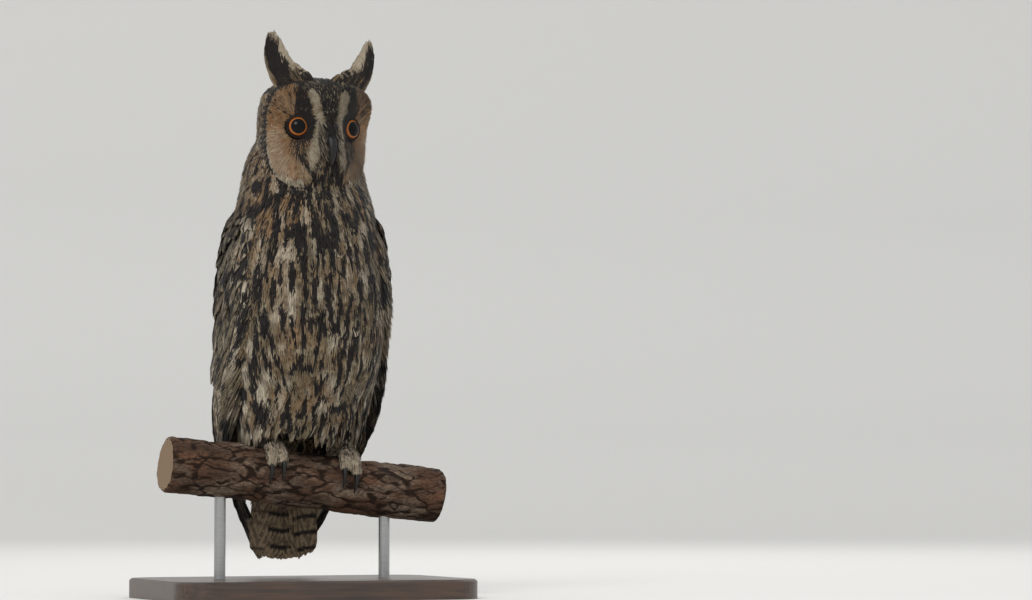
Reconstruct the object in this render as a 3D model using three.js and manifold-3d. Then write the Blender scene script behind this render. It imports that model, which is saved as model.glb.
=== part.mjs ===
// A long-eared owl at life size, standing upright on a short cut length of pine branch, which two
// rods hold above a flat base. Millimetres, +Z up. The origin is the middle of the base's underside.
// The owl's body faces -Y, so its left side is at +X. Its head is turned a little to its left.

import * as THREE from "three";
import { mergeVertices } from "three/addons/utils/BufferGeometryUtils.js";
import Module from "manifold-3d";

const wasm = await Module();
wasm.setup();

// Driving dimensions of the stand and the branch.
const GAP = 0.3; // kept between neighbouring pieces
const BASE = { length: 224, width: 150, height: 14, corner: 24, bevel: 1.5 };
const ROD = { radius: 4, apart: 124, sides: 16 };
const PERCH = { radius: 20, length: 206, slope: THREE.MathUtils.degToRad(6) };
const TAIL_CLEARANCE = 12; // from the tail's tip down to the base
const TAIL_DROP = 78; // how far the tail hangs below the top of the perch
const PERCH_TOP = BASE.height + TAIL_CLEARANCE + TAIL_DROP;

// Driving dimensions of the owl. Heights are above the top of the perch.
const NECK_BASE = 172;
const HEAD = { height: 228, forward: 15, yaw: THREE.MathUtils.degToRad(5) };
const COLLAR = { chin: 184, nape: 218, front: 45, back: 40 }; // the plane that parts head and neck
const DISC = { bearing: 40, spread: 37, centre: -4, up: 34, down: 38, dish: 6.5, rim: 1.8 };
const EYE = { apart: 37, forward: 17, up: 1, radius: 10, splay: THREE.MathUtils.degToRad(20) };
const FEET = { apart: 60, toe: 4.6 };

// The body and neck as one upright column: at each height its half-width and how far its front and
// its back stand from the axis.
const COLUMN = [
  { height: 12, half: 12, front: 4, back: 28 },
  { height: 15, half: 22, front: 12, back: 35 },
  { height: 21, half: 34, front: 24, back: 40 },
  { height: 30, half: 42, front: 34, back: 43 },
  { height: 43, half: 48.5, front: 43, back: 46 },
  { height: 60, half: 53, front: 51, back: 47 },
  { height: 80, half: 55.5, front: 55.5, back: 46 },
  { height: 100, half: 56, front: 57.5, back: 45 },
  { height: 115, half: 56, front: 57.5, back: 44 },
  { height: 130, half: 55, front: 56, back: 43 },
  { height: 155, half: 51.5, front: 52, back: 41 },
  { height: 172, half: 49, front: 46.5, back: 40 },
  { height: 190, half: 45, front: 38, back: 39 },
  { height: 203, half: 42.5, front: 32, back: 37 },
  { height: 216, half: 38, front: 27, back: 31 },
  { height: 226, half: 31, front: 20, back: 22 },
  { height: 236, half: 20, front: 10, back: 12 },
];

// The head above and below its own centre, in the same terms, with where it is widest, as a
// distance behind its axis.
const SKULL = [
  { height: -47, half: 7, front: 7, back: 7, widest: 0 },
  { height: -45.5, half: 17, front: 17, back: 15, widest: 0 },
  { height: -41, half: 26, front: 24.5, back: 30, widest: 0 },
  { height: -34, half: 32, front: 28.5, back: 43, widest: 0 },
  { height: -22, half: 35.5, front: 31, back: 49, widest: 0 },
  { height: -8, half: 36.5, front: 32, back: 48.5, widest: -1 },
  { height: 3, half: 37, front: 32.5, back: 46.5, widest: -2 },
  { height: 12, half: 38.5, front: 32.5, back: 42.5, widest: -5 },
  { height: 19, half: 38.5, front: 32, back: 38, widest: -8 },
  { height: 26, half: 36.5, front: 30, back: 33.5, widest: -8 },
  { height: 32, half: 29.5, front: 25.5, back: 28, widest: -8 },
  { height: 36, half: 19, front: 18, back: 20, widest: -5 },
  { height: 37.5, half: 8, front: 9, back: 10, widest: 0 },
];

// The outside of the folded wings, down to their tips. It is widest a little behind the axis.
const MANTLE = [
  { height: -78, half: 20, front: -46, back: 58, widest: 53 },
  { height: -50, half: 33, front: -36, back: 60, widest: 47 },
  { height: -25, half: 44, front: -22, back: 60, widest: 41 },
  { height: 0, half: 53, front: -4, back: 60, widest: 34 },
  { height: 20, half: 59.5, front: 12, back: 60, widest: 27 },
  { height: 43, half: 62.5, front: 28, back: 58, widest: 20 },
  { height: 73, half: 62.5, front: 44, back: 56, widest: 13 },
  { height: 100, half: 63, front: 54, back: 55, widest: 8 },
  { height: 130, half: 61.5, front: 53, back: 53, widest: 7 },
  { height: 155, half: 57.5, front: 49, back: 50, widest: 5 },
  { height: 166, half: 54, front: 45, back: 47, widest: 4 },
  { height: 178, half: 49, front: 38, back: 44, widest: 3 },
];

// Where the folded wing's front and back edges lie, as bearings in degrees from straight ahead.
const WING_FRONT = [[-78, 60], [-40, 66], [0, 76], [30, 78], [60, 70], [100, 60], [140, 54], [178, 62]];
const WING_BACK = [[-78, 120], [-40, 140], [0, 158], [60, 168], [130, 169], [160, 160], [178, 128]];

const FEATHER = new THREE.MeshStandardMaterial({ color: 0x7d6a52, roughness: 0.9, metalness: 0 });
const DISC_FEATHER = new THREE.MeshStandardMaterial({ color: 0x9a7650, roughness: 0.9, metalness: 0 });
const HORN = new THREE.MeshStandardMaterial({ color: 0x1d1a18, roughness: 0.4, metalness: 0 });
const IRIS = new THREE.MeshStandardMaterial({ color: 0xc4611a, roughness: 0.1, metalness: 0 });
const BARK = new THREE.MeshStandardMaterial({ color: 0x4a3a2e, roughness: 0.95, metalness: 0 });
const STAND_WOOD = new THREE.MeshStandardMaterial({ color: 0x2e241d, roughness: 0.5, metalness: 0 });
const STEEL = new THREE.MeshStandardMaterial({ color: 0x8d8d8a, roughness: 0.35, metalness: 1 });

const radians = THREE.MathUtils.degToRad;
const vector = (x, y, z) => new THREE.Vector3(x, y, z);

// A smooth line through [place, value] knots, flat past both ends.
function through(knots) {
  const slope = (i) => {
    const a = knots[Math.max(i - 1, 0)];
    const b = knots[Math.min(i + 1, knots.length - 1)];
    return (b[1] - a[1]) / (b[0] - a[0]);
  };
  return (place) => {
    const at = THREE.MathUtils.clamp(place, knots[0][0], knots.at(-1)[0]);
    const i = Math.max(knots.findIndex((knot) => knot[0] >= at), 1);
    const [x0, y0] = knots[i - 1];
    const [x1, y1] = knots[i];
    const width = x1 - x0;
    const t = (at - x0) / width;
    const rise = (2 * t - 3) * t * t;
    return (
      y0 * (1 + rise) - y1 * rise +
      slope(i - 1) * width * t * (1 - t) * (1 - t) - slope(i) * width * t * t * (1 - t)
    );
  };
}

// The surface of an upright form: a point for a bearing in degrees and a height. The bearing is 0
// straight ahead and grows towards the owl's left. The form is squarer in front than behind.
function upright(sections, squareness = 2.3, behind = squareness) {
  const profile = (key) => through(sections.map((section) => [section.height, section[key] ?? 0]));
  const [half, front, back, widest] = ["half", "front", "back", "widest"].map(profile);
  return (bearing, height, grow = 0) => {
    const s = Math.sin(radians(bearing));
    const c = Math.cos(radians(bearing));
    const power = 2 / (c > 0 ? squareness : behind);
    const round = (value) => Math.sign(value) * Math.abs(value) ** power;
    const middle = widest(height);
    const reach = (c > 0 ? front(height) + middle : back(height) - middle) + grow;
    return vector((half(height) + grow) * round(s), middle - reach * round(c), height);
  };
}

// A closed solid from points and triangles, turned so that its faces point out.
function closed(points, triangles) {
  const geometry = new THREE.BufferGeometry().setFromPoints(points);
  geometry.setIndex(triangles);
  return solidOf(geometry);
}

function solidOf(geometry) {
  const merged = mergeVertices(geometry, 1e-4);
  const at = (i) => new THREE.Vector3().fromBufferAttribute(merged.attributes.position, i);
  const index = merged.index.array;
  const kept = [];
  let volume = 0;
  for (let i = 0; i < index.length; i += 3) {
    const [a, b, c] = index.slice(i, i + 3);
    if (a === b || b === c || c === a) continue;
    kept.push(a, b, c);
    volume += at(a).dot(at(b).cross(at(c)));
  }
  return new wasm.Manifold(
    new wasm.Mesh({
      numProp: 3,
      vertProperties: merged.attributes.position.array,
      triVerts: new Uint32Array(volume < 0 ? kept.reverse() : kept),
    }),
  );
}

// A solid from a stack of closed rings, each with the same number of points, with a fan over each end.
function stack(rings) {
  const count = rings[0].length;
  const points = rings.flat();
  const triangles = [];
  for (let row = 0; row < rings.length - 1; row++) {
    for (let i = 0; i < count; i++) {
      const a = row * count + i;
      const b = row * count + ((i + 1) % count);
      triangles.push(a, b, b + count, a, b + count, a + count);
    }
  }
  [0, rings.length - 1].forEach((row) => {
    const middle = rings[row].reduce((sum, p) => sum.add(p), vector(0, 0, 0)).divideScalar(count);
    points.push(middle);
    for (let i = 0; i < count; i++) {
      const edge = [row * count + i, row * count + ((i + 1) % count)];
      triangles.push(points.length - 1, ...(row === 0 ? edge.reverse() : edge));
    }
  });
  return closed(points, triangles);
}

// A plate from rows of points on its outer and inner faces, split into the same triangles on both.
function plate(outer, inner) {
  const rows = outer.length;
  const columns = outer[0].length;
  const points = [...outer.flat(), ...inner.flat()];
  const out = (i, j) => i * columns + j;
  const inn = (i, j) => rows * columns + i * columns + j;
  const triangles = [];
  const wall = (a, b, c, d) => triangles.push(a, b, c, a, c, d);
  for (let i = 0; i < rows - 1; i++) {
    for (let j = 0; j < columns - 1; j++) {
      wall(out(i, j), out(i, j + 1), out(i + 1, j + 1), out(i + 1, j));
      triangles.push(inn(i, j), inn(i + 1, j + 1), inn(i, j + 1));
      triangles.push(inn(i, j), inn(i + 1, j), inn(i + 1, j + 1));
    }
    wall(out(i, 0), out(i + 1, 0), inn(i + 1, 0), inn(i, 0));
    wall(out(i + 1, columns - 1), out(i, columns - 1), inn(i, columns - 1), inn(i + 1, columns - 1));
  }
  for (let j = 0; j < columns - 1; j++) {
    wall(out(0, j + 1), out(0, j), inn(0, j), inn(0, j + 1));
    wall(out(rows - 1, j), out(rows - 1, j + 1), inn(rows - 1, j + 1), inn(rows - 1, j));
  }
  return closed(points, triangles);
}

// A tapering tube along a curve: its half-width and half-height at each share of its length.
function tube(curve, steps, sides, size, grow = 0) {
  const side = vector(1, 0, 0);
  return stack(
    Array.from({ length: steps + 1 }, (_, step) => {
      const at = step / steps;
      const tangent = curve.getTangent(at);
      const across = side.clone().addScaledVector(tangent, -side.dot(tangent)).normalize();
      const up = new THREE.Vector3().crossVectors(across, tangent);
      const [width, height] = size(at);
      return Array.from({ length: sides }, (_, i) => {
        const turn = (2 * Math.PI * i) / sides;
        return curve
          .getPoint(at)
          .addScaledVector(across, (width + grow) * Math.cos(turn))
          .addScaledVector(up, (height + grow) * Math.sin(turn));
      });
    }),
  );
}

// A feather as a flat vane from root to tip. The spine gives each row's middle, the way across and
// the way out at a share of the length; the widths are shares of the full width, row by row. The
// roll lifts one edge over the neighbour's, as slates lie.
function vane(spine, { width, thick, widths, roll = 0 }, grow = 0) {
  const face = (way) =>
    widths.map((part, row) => {
      const { middle, across, out } = spine(row / (widths.length - 1));
      const half = (width * part) / 2 + grow;
      return [-1, 1].map((edge) => {
        const height = way * (thick / 2 + grow) + roll * half * edge;
        return middle.clone().addScaledVector(across, half * edge).addScaledVector(out, height);
      });
    });
  return plate(face(1), face(-1));
}

// A spine that lies on a surface: the route gives the surface's two coordinates and the height off
// it at each share of the length.
function layOn(surface, route) {
  const at = (share) => surface(...route(share));
  return (share) => {
    const [u, v, lift] = route(share);
    const middle = surface(u, v, lift);
    const step = share > 0.5 ? -0.02 : 0.02;
    const along = at(share + step).sub(middle).multiplyScalar(Math.sign(step));
    const outward = surface(u, v, lift + 1).sub(middle);
    const [du, dv] = [[u * 1.001 + 0.001, v], [u, v + 0.5]].map((uv) => surface(...uv, lift).sub(middle));
    const normal = du.cross(dv).normalize();
    const out = normal.multiplyScalar(Math.sign(normal.dot(outward)));
    const across = new THREE.Vector3().crossVectors(out, along).normalize();
    return { middle, across, out };
  };
}

const steps = (count, from, to) =>
  Array.from({ length: count + 1 }, (_, i) => from + ((to - from) * i) / count);
const mix = THREE.MathUtils.lerp;
const BROAD = [0.65, 1, 0.35]; // a covert's widths from root to tip
const LONG = [0.75, 1, 0.9, 0.3]; // a flight feather's

// The same draws each time the file runs.
function draws(seed) {
  let state = seed;
  return () => {
    state = (state * 1664525 + 1013904223) % 4294967296;
    return state / 4294967296 - 0.5;
  };
}

const join = (...solids) => wasm.Manifold.union(solids.flat());
const cut = (solid, ...cutters) => wasm.Manifold.difference([solid, ...cutters.flat()]);
const largest = (solid) => solid.decompose().sort((a, b) => b.volume() - a.volume())[0];
const moved = (solid, matrix) => solid.transform(matrix.elements);

function geometryOf(solid) {
  const mesh = solid.getMesh();
  const places = new Float32Array(mesh.numVert * 3);
  for (let i = 0; i < mesh.numVert; i++) {
    places.set(mesh.vertProperties.subarray(i * mesh.numProp, i * mesh.numProp + 3), i * 3);
  }
  const geometry = new THREE.BufferGeometry();
  geometry.setAttribute("position", new THREE.BufferAttribute(places, 3));
  geometry.setIndex(new THREE.BufferAttribute(mesh.triVerts, 1));
  geometry.computeVertexNormals();
  return geometry;
}

function node(name, solid, material) {
  const mesh = new THREE.Mesh(geometryOf(largest(solid)), material);
  mesh.name = name;
  return mesh;
}

// Bearings round a form, close together in front, where the face and breast are.
const bearings = (count) =>
  steps(count, -1, 1)
    .slice(0, -1)
    .map((s) => 180 * s * (0.62 + 0.38 * s * s));

// Body and neck
const columnAt = upright(COLUMN);
const columnPart = (low, high, rows, grow = 0) =>
  stack(
    steps(rows, 0, 1).map((share) => {
      return bearings(28).map((bearing) => columnAt(bearing, low + (high - low) * share, grow));
    }),
  );
const COLUMN_FOOT = COLUMN[0].height;
const COLUMN_CROWN = COLUMN.at(-1).height;
const torsoBody = (grow = 0) => columnPart(COLUMN_FOOT, NECK_BASE, 16, grow);

// The two halves of space on either side of the plane that parts head and neck, which rises from
// under the chin to the nape. A gap holds the half off the plane.
function besideCollar(way, gap) {
  const size = 400;
  const run = COLLAR.front + COLLAR.back;
  const slope = Math.atan2(COLLAR.nape - COLLAR.chin, run);
  const geometry = new THREE.BoxGeometry(size, size, size);
  geometry.deleteAttribute("normal");
  geometry.deleteAttribute("uv");
  geometry.applyMatrix4(new THREE.Matrix4().makeTranslation(0, 0, way * (size / 2) - gap));
  geometry.applyMatrix4(new THREE.Matrix4().makeRotationX(slope));
  geometry.applyMatrix4(new THREE.Matrix4().makeTranslation(0, -COLLAR.front, COLLAR.chin));
  return solidOf(geometry);
}
const aboveCollar = (gap) => besideCollar(1, gap);
const belowCollar = (gap) => besideCollar(-1, -gap);

// Head
const skullAt = upright(SKULL, 2.35, 2);
const headFrame = new THREE.Matrix4()
  .makeRotationZ(HEAD.yaw)
  .setPosition(0, -HEAD.forward, HEAD.height);

// The head's surface with its two facial discs: each is dished about the eye, and its outer edge
// stands up as a rim.
function faceAt(bearing, height, grow = 0) {
  const across = (Math.abs(bearing) - DISC.bearing) / DISC.spread;
  const along = (height - DISC.centre) / (height > DISC.centre ? DISC.up : DISC.down);
  const share = Math.hypot(across, along);
  const dish = share < 1 ? DISC.dish * (1 - share ** 2) ** 1.5 : 0;
  const outer = THREE.MathUtils.smoothstep(across / Math.max(share, 0.1), -0.7, 0.1);
  const rim = DISC.rim * outer * Math.exp(-(((share - 1) / 0.17) ** 2));
  return skullAt(bearing, height, grow - dish + rim);
}

function skull(grow = 0) {
  const [low, high] = [SKULL[0].height, SKULL.at(-1).height];
  return stack(
    steps(18, 0, 1).map((share) => {
      const height = low + ((high - low) * (1 - Math.cos(Math.PI * share))) / 2;
      return bearings(34).map((bearing) => faceAt(bearing, height, grow));
    }),
  );
}

// The ruff: a row of short stiff vanes round the outer rim of each facial disc, from above the eye
// to the chin. The turn is 0 straight out, and grows upwards.
const RUFF = {
  count: 9, from: 58, to: -86, inside: 0.98, outside: 1.28, width: 11, thick: 0.8, rise: 2.2, above: 1.2,
};

function ruff(side, grow = 0) {
  const onDisc = (turn, share, lift) => {
    const bearing = DISC.bearing + DISC.spread * share * Math.cos(turn);
    const reach = Math.sin(turn) > 0 ? DISC.up : DISC.down;
    return faceAt(side * bearing, DISC.centre + reach * share * Math.sin(turn), lift);
  };
  return steps(RUFF.count - 1, RUFF.from, RUFF.to).map((turn, i) => {
    const above = (i % 2) * RUFF.above;
    const route = (share) => [
      radians(turn),
      mix(RUFF.inside, RUFF.outside, share),
      mix(-0.8, RUFF.rise + above, share),
    ];
    return vane(layOn(onDisc, route), { ...RUFF, widths: [0.8, 1, 0.35] }, grow);
  });
}

const eyeMiddle = (side) => vector((side * EYE.apart) / 2, -EYE.forward, EYE.up);
const eyeAim = (side) => vector(side * Math.sin(EYE.splay), -Math.cos(EYE.splay), 0);

function eyeball(side, grow = 0) {
  const geometry = new THREE.SphereGeometry(EYE.radius + grow, 16, 10);
  geometry.deleteAttribute("normal");
  geometry.deleteAttribute("uv");
  geometry.applyMatrix4(new THREE.Matrix4().makeTranslation(eyeMiddle(side)));
  return solidOf(geometry);
}

// The lids: a soft ring round the part of the eyeball that shows, heavier above than below.
const LID = { opening: 7.3, clear: 0.8, sunk: 0.4, thick: 1.1, brow: 0.5, sides: 16 };

function lids(side) {
  const aim = eyeAim(side);
  const across = vector(0, 0, 1).cross(aim).normalize();
  const setBack = Math.sqrt(EYE.radius ** 2 - LID.opening ** 2);
  const middle = eyeMiddle(side).addScaledVector(aim, setBack - LID.sunk);
  const rings = steps(LID.sides, 0, 2 * Math.PI).slice(0, -1).map((turn) => {
    const outward = across.clone().multiplyScalar(Math.cos(turn)).add(vector(0, 0, Math.sin(turn)));
    const thick = LID.thick + LID.brow * Math.max(Math.sin(turn), 0);
    return steps(5, 0, 2 * Math.PI).slice(0, -1).map((lap) =>
      middle
        .clone()
        .addScaledVector(outward, LID.opening + LID.clear + thick * Math.cos(lap))
        .addScaledVector(aim, thick * Math.sin(lap)),
    );
  });
  return ringSolid(rings);
}

// A solid ring from sections that go once round and meet their own start.
function ringSolid(sections) {
  const count = sections[0].length;
  const triangles = [];
  sections.forEach((_, row) => {
    const after = ((row + 1) % sections.length) * count;
    for (let i = 0; i < count; i++) {
      const j = (i + 1) % count;
      triangles.push(row * count + i, row * count + j, after + j);
      triangles.push(row * count + i, after + j, after + i);
    }
  });
  return closed(sections.flat(), triangles);
}

// Bill
const curve = (...points) => new THREE.CatmullRomCurve3(points.map((p) => vector(...p)));
const upperBill = (grow = 0) =>
  tube(
    curve([0, -22, -1], [0, -30, -4], [0, -35.5, -11], [0, -36.5, -19], [0, -34, -27]),
    8, 8,
    (at) => [5.2 * (1 - at) ** 0.55 + 0.5, 5.6 * (1 - at) ** 0.7 + 0.5],
    grow,
  );
const lowerBill = () =>
  tube(
    curve([0, -22, -15], [0, -29, -18], [0, -33, -23]),
    4, 8,
    (at) => [4 * (1 - at) ** 0.5 + 0.5, 2.4 * (1 - at) ** 0.5 + 0.5],
  );
const nostril = (side) =>
  tube(curve([side * 2, -31, -7], [side * 6, -36, -7.4]), 1, 6, () => [0.9, 1.2]);

// Ear tufts: each is a fan of long vanes that spring from the crown over the eye. Each vane has its
// root and its tip as distances from the midline and heights over the head's middle.
const TUFT = { forward: 16, stagger: 1.25, width: 10.5, thick: 0.9, lean: 1.5 };
const TUFT_VANES = [
  { root: [29, 28], tip: [41, 57], bow: 1.5 },
  { root: [27, 29], tip: [39.5, 69.5], bow: 4 },
  { root: [23, 30], tip: [35.5, 66.5], bow: 3.5 },
  { root: [18, 31], tip: [30, 58.5], bow: 3 },
  { root: [13, 32], tip: [23, 50.5], bow: 2 },
  { root: [8, 33], tip: [14.5, 43.5], bow: 0.5 },
];
const TUFT_RAISED = { left: 0.92, right: 1 }; // how far each tuft is raised

function tuft(name, side) {
  const crown = TUFT_VANES[0].root[1];
  const vanes = TUFT_VANES.map(({ root, tip, bow }, i) => {
    const rise = (tip[1] - crown) * TUFT_RAISED[name] + crown - root[1];
    const spine = (share) => {
      const out = mix(root[0], tip[0], share) + bow * Math.sin(Math.PI * share);
      const run = tip[0] - root[0] + Math.PI * bow * Math.cos(Math.PI * share);
      const along = Math.atan2(run, rise);
      return {
        middle: vector(side * out, TUFT.lean * share - TUFT.forward - TUFT.stagger * i, root[1] + rise * share),
        across: vector(side * Math.cos(along), 0, -Math.sin(along)),
        out: vector(0, -1, 0),
      };
    };
    return vane(spine, { width: TUFT.width, thick: TUFT.thick, widths: [0.8, 1, 0.9, 0.6, 0.15] });
  });
  const back = -TUFT.forward + 1;
  const front = back - TUFT.stagger * TUFT_VANES.length;
  const foot = tube(
    curve([side * 6, front + 1, 32], [side * 18, (front + back) / 2, 33], [side * 31, back - 1, 29]),
    4, 8,
    (at) => [4.6, 3 + 2.5 * Math.sin(Math.PI * at)],
  );
  return join(foot, vanes);
}

// Wings
const mantleAt = upright(MANTLE);
const wingFront = through(WING_FRONT);
const wingBack = through(WING_BACK);
const WING = { root: 9, free: 2.4, under: 4, dive: 3, foot: -8, brow: 176, thick: 0.9, roll: 0.12 };
const WING_OUT = { left: 2.2, right: 0 }; // the far wing is held a little off the body
// Each tier runs from the wing's front edge to its back edge. Roots and tips are given at both ends
// of the row, as [share of the way across the wing, height]. The sink is how much deeper each vane's
// tip lies than the one behind it, so that the flight feathers fold under one another.
const PRIMARIES = {
  count: 5, roots: [[0.3, 24], [0.85, 20]], tips: [[0.22, -76], [0.9, -44]], width: 13, shape: LONG, sink: 1.3,
};
const SECONDARIES = {
  count: 5, roots: [[0.12, 60], [0.8, 62]], tips: [[0.1, -14], [0.9, 10]], width: 17, shape: LONG, sink: 0.3,
};
const TERTIALS = {
  count: 2, roots: [[0.76, 100], [0.88, 104]], tips: [[0.78, 24], [0.95, 44]], width: 18, shape: LONG,
};
const GREATER_COVERTS = {
  count: 5, roots: [[0.11, 90], [0.74, 98]], tips: [[0.09, 44], [0.71, 56]], width: 19, shape: BROAD,
};
const MIDDLE_COVERTS = {
  count: 4, roots: [[0.14, 114], [0.7, 120]], tips: [[0.11, 74], [0.69, 84]], width: 22, shape: BROAD,
};
const LESSER_COVERTS = {
  count: 4, roots: [[0.16, 136], [0.68, 142]], tips: [[0.12, 102], [0.66, 112]], width: 21, shape: BROAD,
};
const SHOULDER_COVERTS = {
  count: 3, roots: [[0.24, 158], [0.66, 160]], tips: [[0.2, 128], [0.66, 134]], width: 22, shape: BROAD,
};
const SCAPULARS = {
  count: 3, roots: [[0.82, 156], [0.88, 118]], tips: [[0.9, 112], [0.95, 70]], width: 20, shape: BROAD,
};
const WING_TIERS = [
  PRIMARIES, SECONDARIES, TERTIALS, GREATER_COVERTS,
  MIDDLE_COVERTS, LESSER_COVERTS, SHOULDER_COVERTS, SCAPULARS,
];

const acrossWing = (share, height) =>
  wingFront(height) + (wingBack(height) - wingFront(height)) * share;

function wingCore(side) {
  const heights = steps(9, WING.foot, WING.brow);
  const across = steps(4, 0.04, 0.97);
  const face = (inner) =>
    heights.map((height) =>
      across.map((share) => {
        const arch = 0.5 + 0.5 * Math.sin(Math.PI * share) ** 0.5;
        const thick = mix(WING.free * arch, WING.root, THREE.MathUtils.smoothstep(height, 10, 60));
        const shoulder = THREE.MathUtils.smoothstep(height, 158, WING.brow);
        const lift = -WING.under - WING.dive * shoulder - (inner ? thick : 0);
        return mantleAt(side * acrossWing(share, height), height, lift);
      }),
    );
  return plate(face(false), face(true));
}

function wing(name, side) {
  const draw = draws(side > 0 ? 11 : 29);
  const surface = (share, height, lift) => mantleAt(side * acrossWing(share, height), height, lift);
  const vanes = WING_TIERS.map(({ count, roots, tips, width, shape, sink = 0 }) =>
    steps(count - 1, 0, 1).map((place, i) => {
      const [root, tip] = [roots, tips].map(([from, to]) => [
        mix(from[0], to[0], place) + 0.008 * draw(),
        mix(from[1], to[1], place) + 3 * draw(),
      ]);
      const deep = (count - 1 - i) * sink;
      const route = (share) => [
        mix(root[0], tip[0], share),
        mix(root[1], tip[1], share),
        mix(-WING.under - 1.4, WING_OUT[name] - 0.6 - deep, share),
      ];
      const roll = sink > 1 ? 0 : -side * WING.roll;
      const size = { width: width * (1 + 0.08 * draw()), thick: WING.thick, roll, widths: shape };
      return vane(layOn(surface, route), size);
    }),
  );
  return join(wingCore(side), vanes.flat());
}

// Tail: a fan of long vanes, the middle pair outermost behind, with short coverts over their roots.
const TAIL = { root: 30, tip: -TAIL_DROP, back: 51, count: 8, spread: 20, narrow: 8, width: 15 };
const COVERTS = { root: 30, tip: -22, count: 3, spread: 13, narrow: 7, width: 16 };
const TAIL_LAYER = 1.3; // from one vane's middle to the next one's below it

function fan({ root, tip, spread, narrow, width, count }, shape, top, grow) {
  return steps(count - 1, -1, 1).map((place, i) => {
    const outward = Math.floor(Math.abs(i - (count - 1) / 2) + (i < count / 2 ? 0.5 : 0));
    const layer = top + (outward + (count % 2 ? 0 : outward > 0)) * TAIL_LAYER;
    const spine = (share) => ({
      middle: vector(
        place * mix(narrow, spread, share),
        TAIL.back - layer - 1.5 * share,
        mix(root, tip + 4 * place * place, share) + (share > 0.5 ? -grow : grow),
      ),
      across: vector(1, 0, 0),
      out: vector(0, 1, 0),
    });
    return vane(spine, { width, thick: 0.9, widths: shape }, grow);
  });
}

function tail(grow = 0) {
  const heights = steps(4, -8, TAIL.root + 4);
  const rump = (inner) =>
    heights.map((height) =>
      steps(4, -1, 1).map((share) => {
        const thick = 7 + 8 * THREE.MathUtils.smoothstep(height, -8, 14);
        const back = TAIL.back - 1.5 * share * share - (inner ? thick * (1 - 0.3 * share ** 2) : 1.2);
        return vector(share * (15 + grow), back + (inner ? -grow : grow), height + (height > 0 ? grow : -grow));
      }),
    );
  return join(fan(TAIL, LONG, 1.6, grow), fan(COVERTS, BROAD, 0.2, grow), plate(rump(false), rump(true)));
}

// Perch, in its own frame: the axis runs along X through the origin.
const perchFrame = new THREE.Matrix4()
  .makeRotationY(PERCH.slope)
  .setPosition(0, 0, -PERCH.radius);
const perchRadius = (x, turn) =>
  PERCH.radius - 0.7 + 0.7 * Math.sin(3 * turn + x / 23) * Math.cos(x / 17) + 0.5 * Math.sin(turn - x / 31);

function perch(grow = 0) {
  const half = PERCH.length / 2 + grow;
  return stack(
    steps(14, -half, half).map((x) =>
      steps(16, 0, 2 * Math.PI).slice(0, -1).map((turn) => {
        const radius = perchRadius(x, turn) + grow;
        return vector(x, radius * Math.sin(turn), radius * Math.cos(turn));
      }),
    ),
  );
}

// Feet, in the perch's frame. A toe runs round the perch from the top: forward toes at bearings
// above 0, back toes below.
const TOES = [
  { name: "inner", start: 8, end: 66, out: -7, reach: -3 },
  { name: "middle", start: 8, end: 74, out: 2, reach: 1 },
  { name: "outer", start: -6, end: -52, out: 9, reach: 4 },
  { name: "hind", start: -6, end: -50, out: -6, reach: -3 },
];

function roundPerch(side, toe, from, to, lift) {
  const middle = (side * FEET.apart) / 2;
  const places = steps(4, 0, 1).map((share) => {
    const turn = radians(from + (to - from) * share);
    const radius = PERCH.radius + lift(share);
    const x = middle + side * (toe.reach + (toe.out - toe.reach) * Math.min(share + 0.1, 1));
    return vector(x, -radius * Math.sin(turn), radius * Math.cos(turn));
  });
  return new THREE.CatmullRomCurve3(places);
}

const toeSolid = (side, toe, grow) =>
  tube(
    roundPerch(side, toe, toe.start, toe.end, () => FEET.toe - 0.6),
    5, 7,
    (at) => [FEET.toe * (1 - 0.3 * at ** 3), FEET.toe * (1 - 0.25 * at ** 3)],
    grow,
  );

function foot(side, grow = 0) {
  const middle = (side * FEET.apart) / 2;
  const ankle = tube(
    curve([middle, 2, PERCH.radius - 2], [middle, 0, PERCH.radius + 6], [middle, -1, PERCH.radius + 11]),
    3, 8,
    (at) => [7.5 - 1.5 * at, 8.5 - 2 * at],
    grow,
  );
  return join(ankle, TOES.map((toe) => toeSolid(side, toe, grow)));
}

function claw(side, toe) {
  const way = Math.sign(toe.end);
  const path = roundPerch(side, { ...toe, reach: toe.out }, toe.end - way * 6, toe.end + way * 34,
    (share) => 4.4 - 2.6 * share ** 2);
  return tube(path, 5, 6, (at) => [2.1 * (1 - at) ** 0.7 + 0.25, 2.4 * (1 - at) ** 0.7 + 0.25]);
}

// Legs
function leg(side) {
  const x = (side * FEET.apart) / 2;
  const fall = x * Math.tan(PERCH.slope);
  return tube(
    curve([x, -4, 34], [x, -4, 20], [x, -1, 6 - fall]),
    4, 12,
    (at) => [11 - 3 * at, 13 - 4 * at],
  );
}

// Stand
function standBase() {
  const outline = new THREE.Shape();
  const [x, y, r] = [BASE.length / 2, BASE.width / 2, BASE.corner];
  outline.moveTo(-x + r, -y);
  outline.lineTo(x - r, -y);
  outline.absarc(x - r, -y + r, r, -Math.PI / 2, 0);
  outline.absarc(x - r, y - r, r, 0, Math.PI / 2);
  outline.absarc(-x + r, y - r, r, Math.PI / 2, Math.PI);
  outline.absarc(-x + r, -y + r, r, Math.PI, 1.5 * Math.PI);
  const rim = outline.getPoints(5);
  const loop = rim.filter((p, i) => p.distanceTo(rim[(i + 1) % rim.length]) > 1e-3);
  const ring = (height, inset) =>
    loop.map((p) => vector(p.x * (1 - inset / x), p.y * (1 - inset / y), height));
  return stack([
    ring(0, 0),
    ring(BASE.height - BASE.bevel, 0),
    ring(BASE.height, BASE.bevel),
  ]);
}

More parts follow.
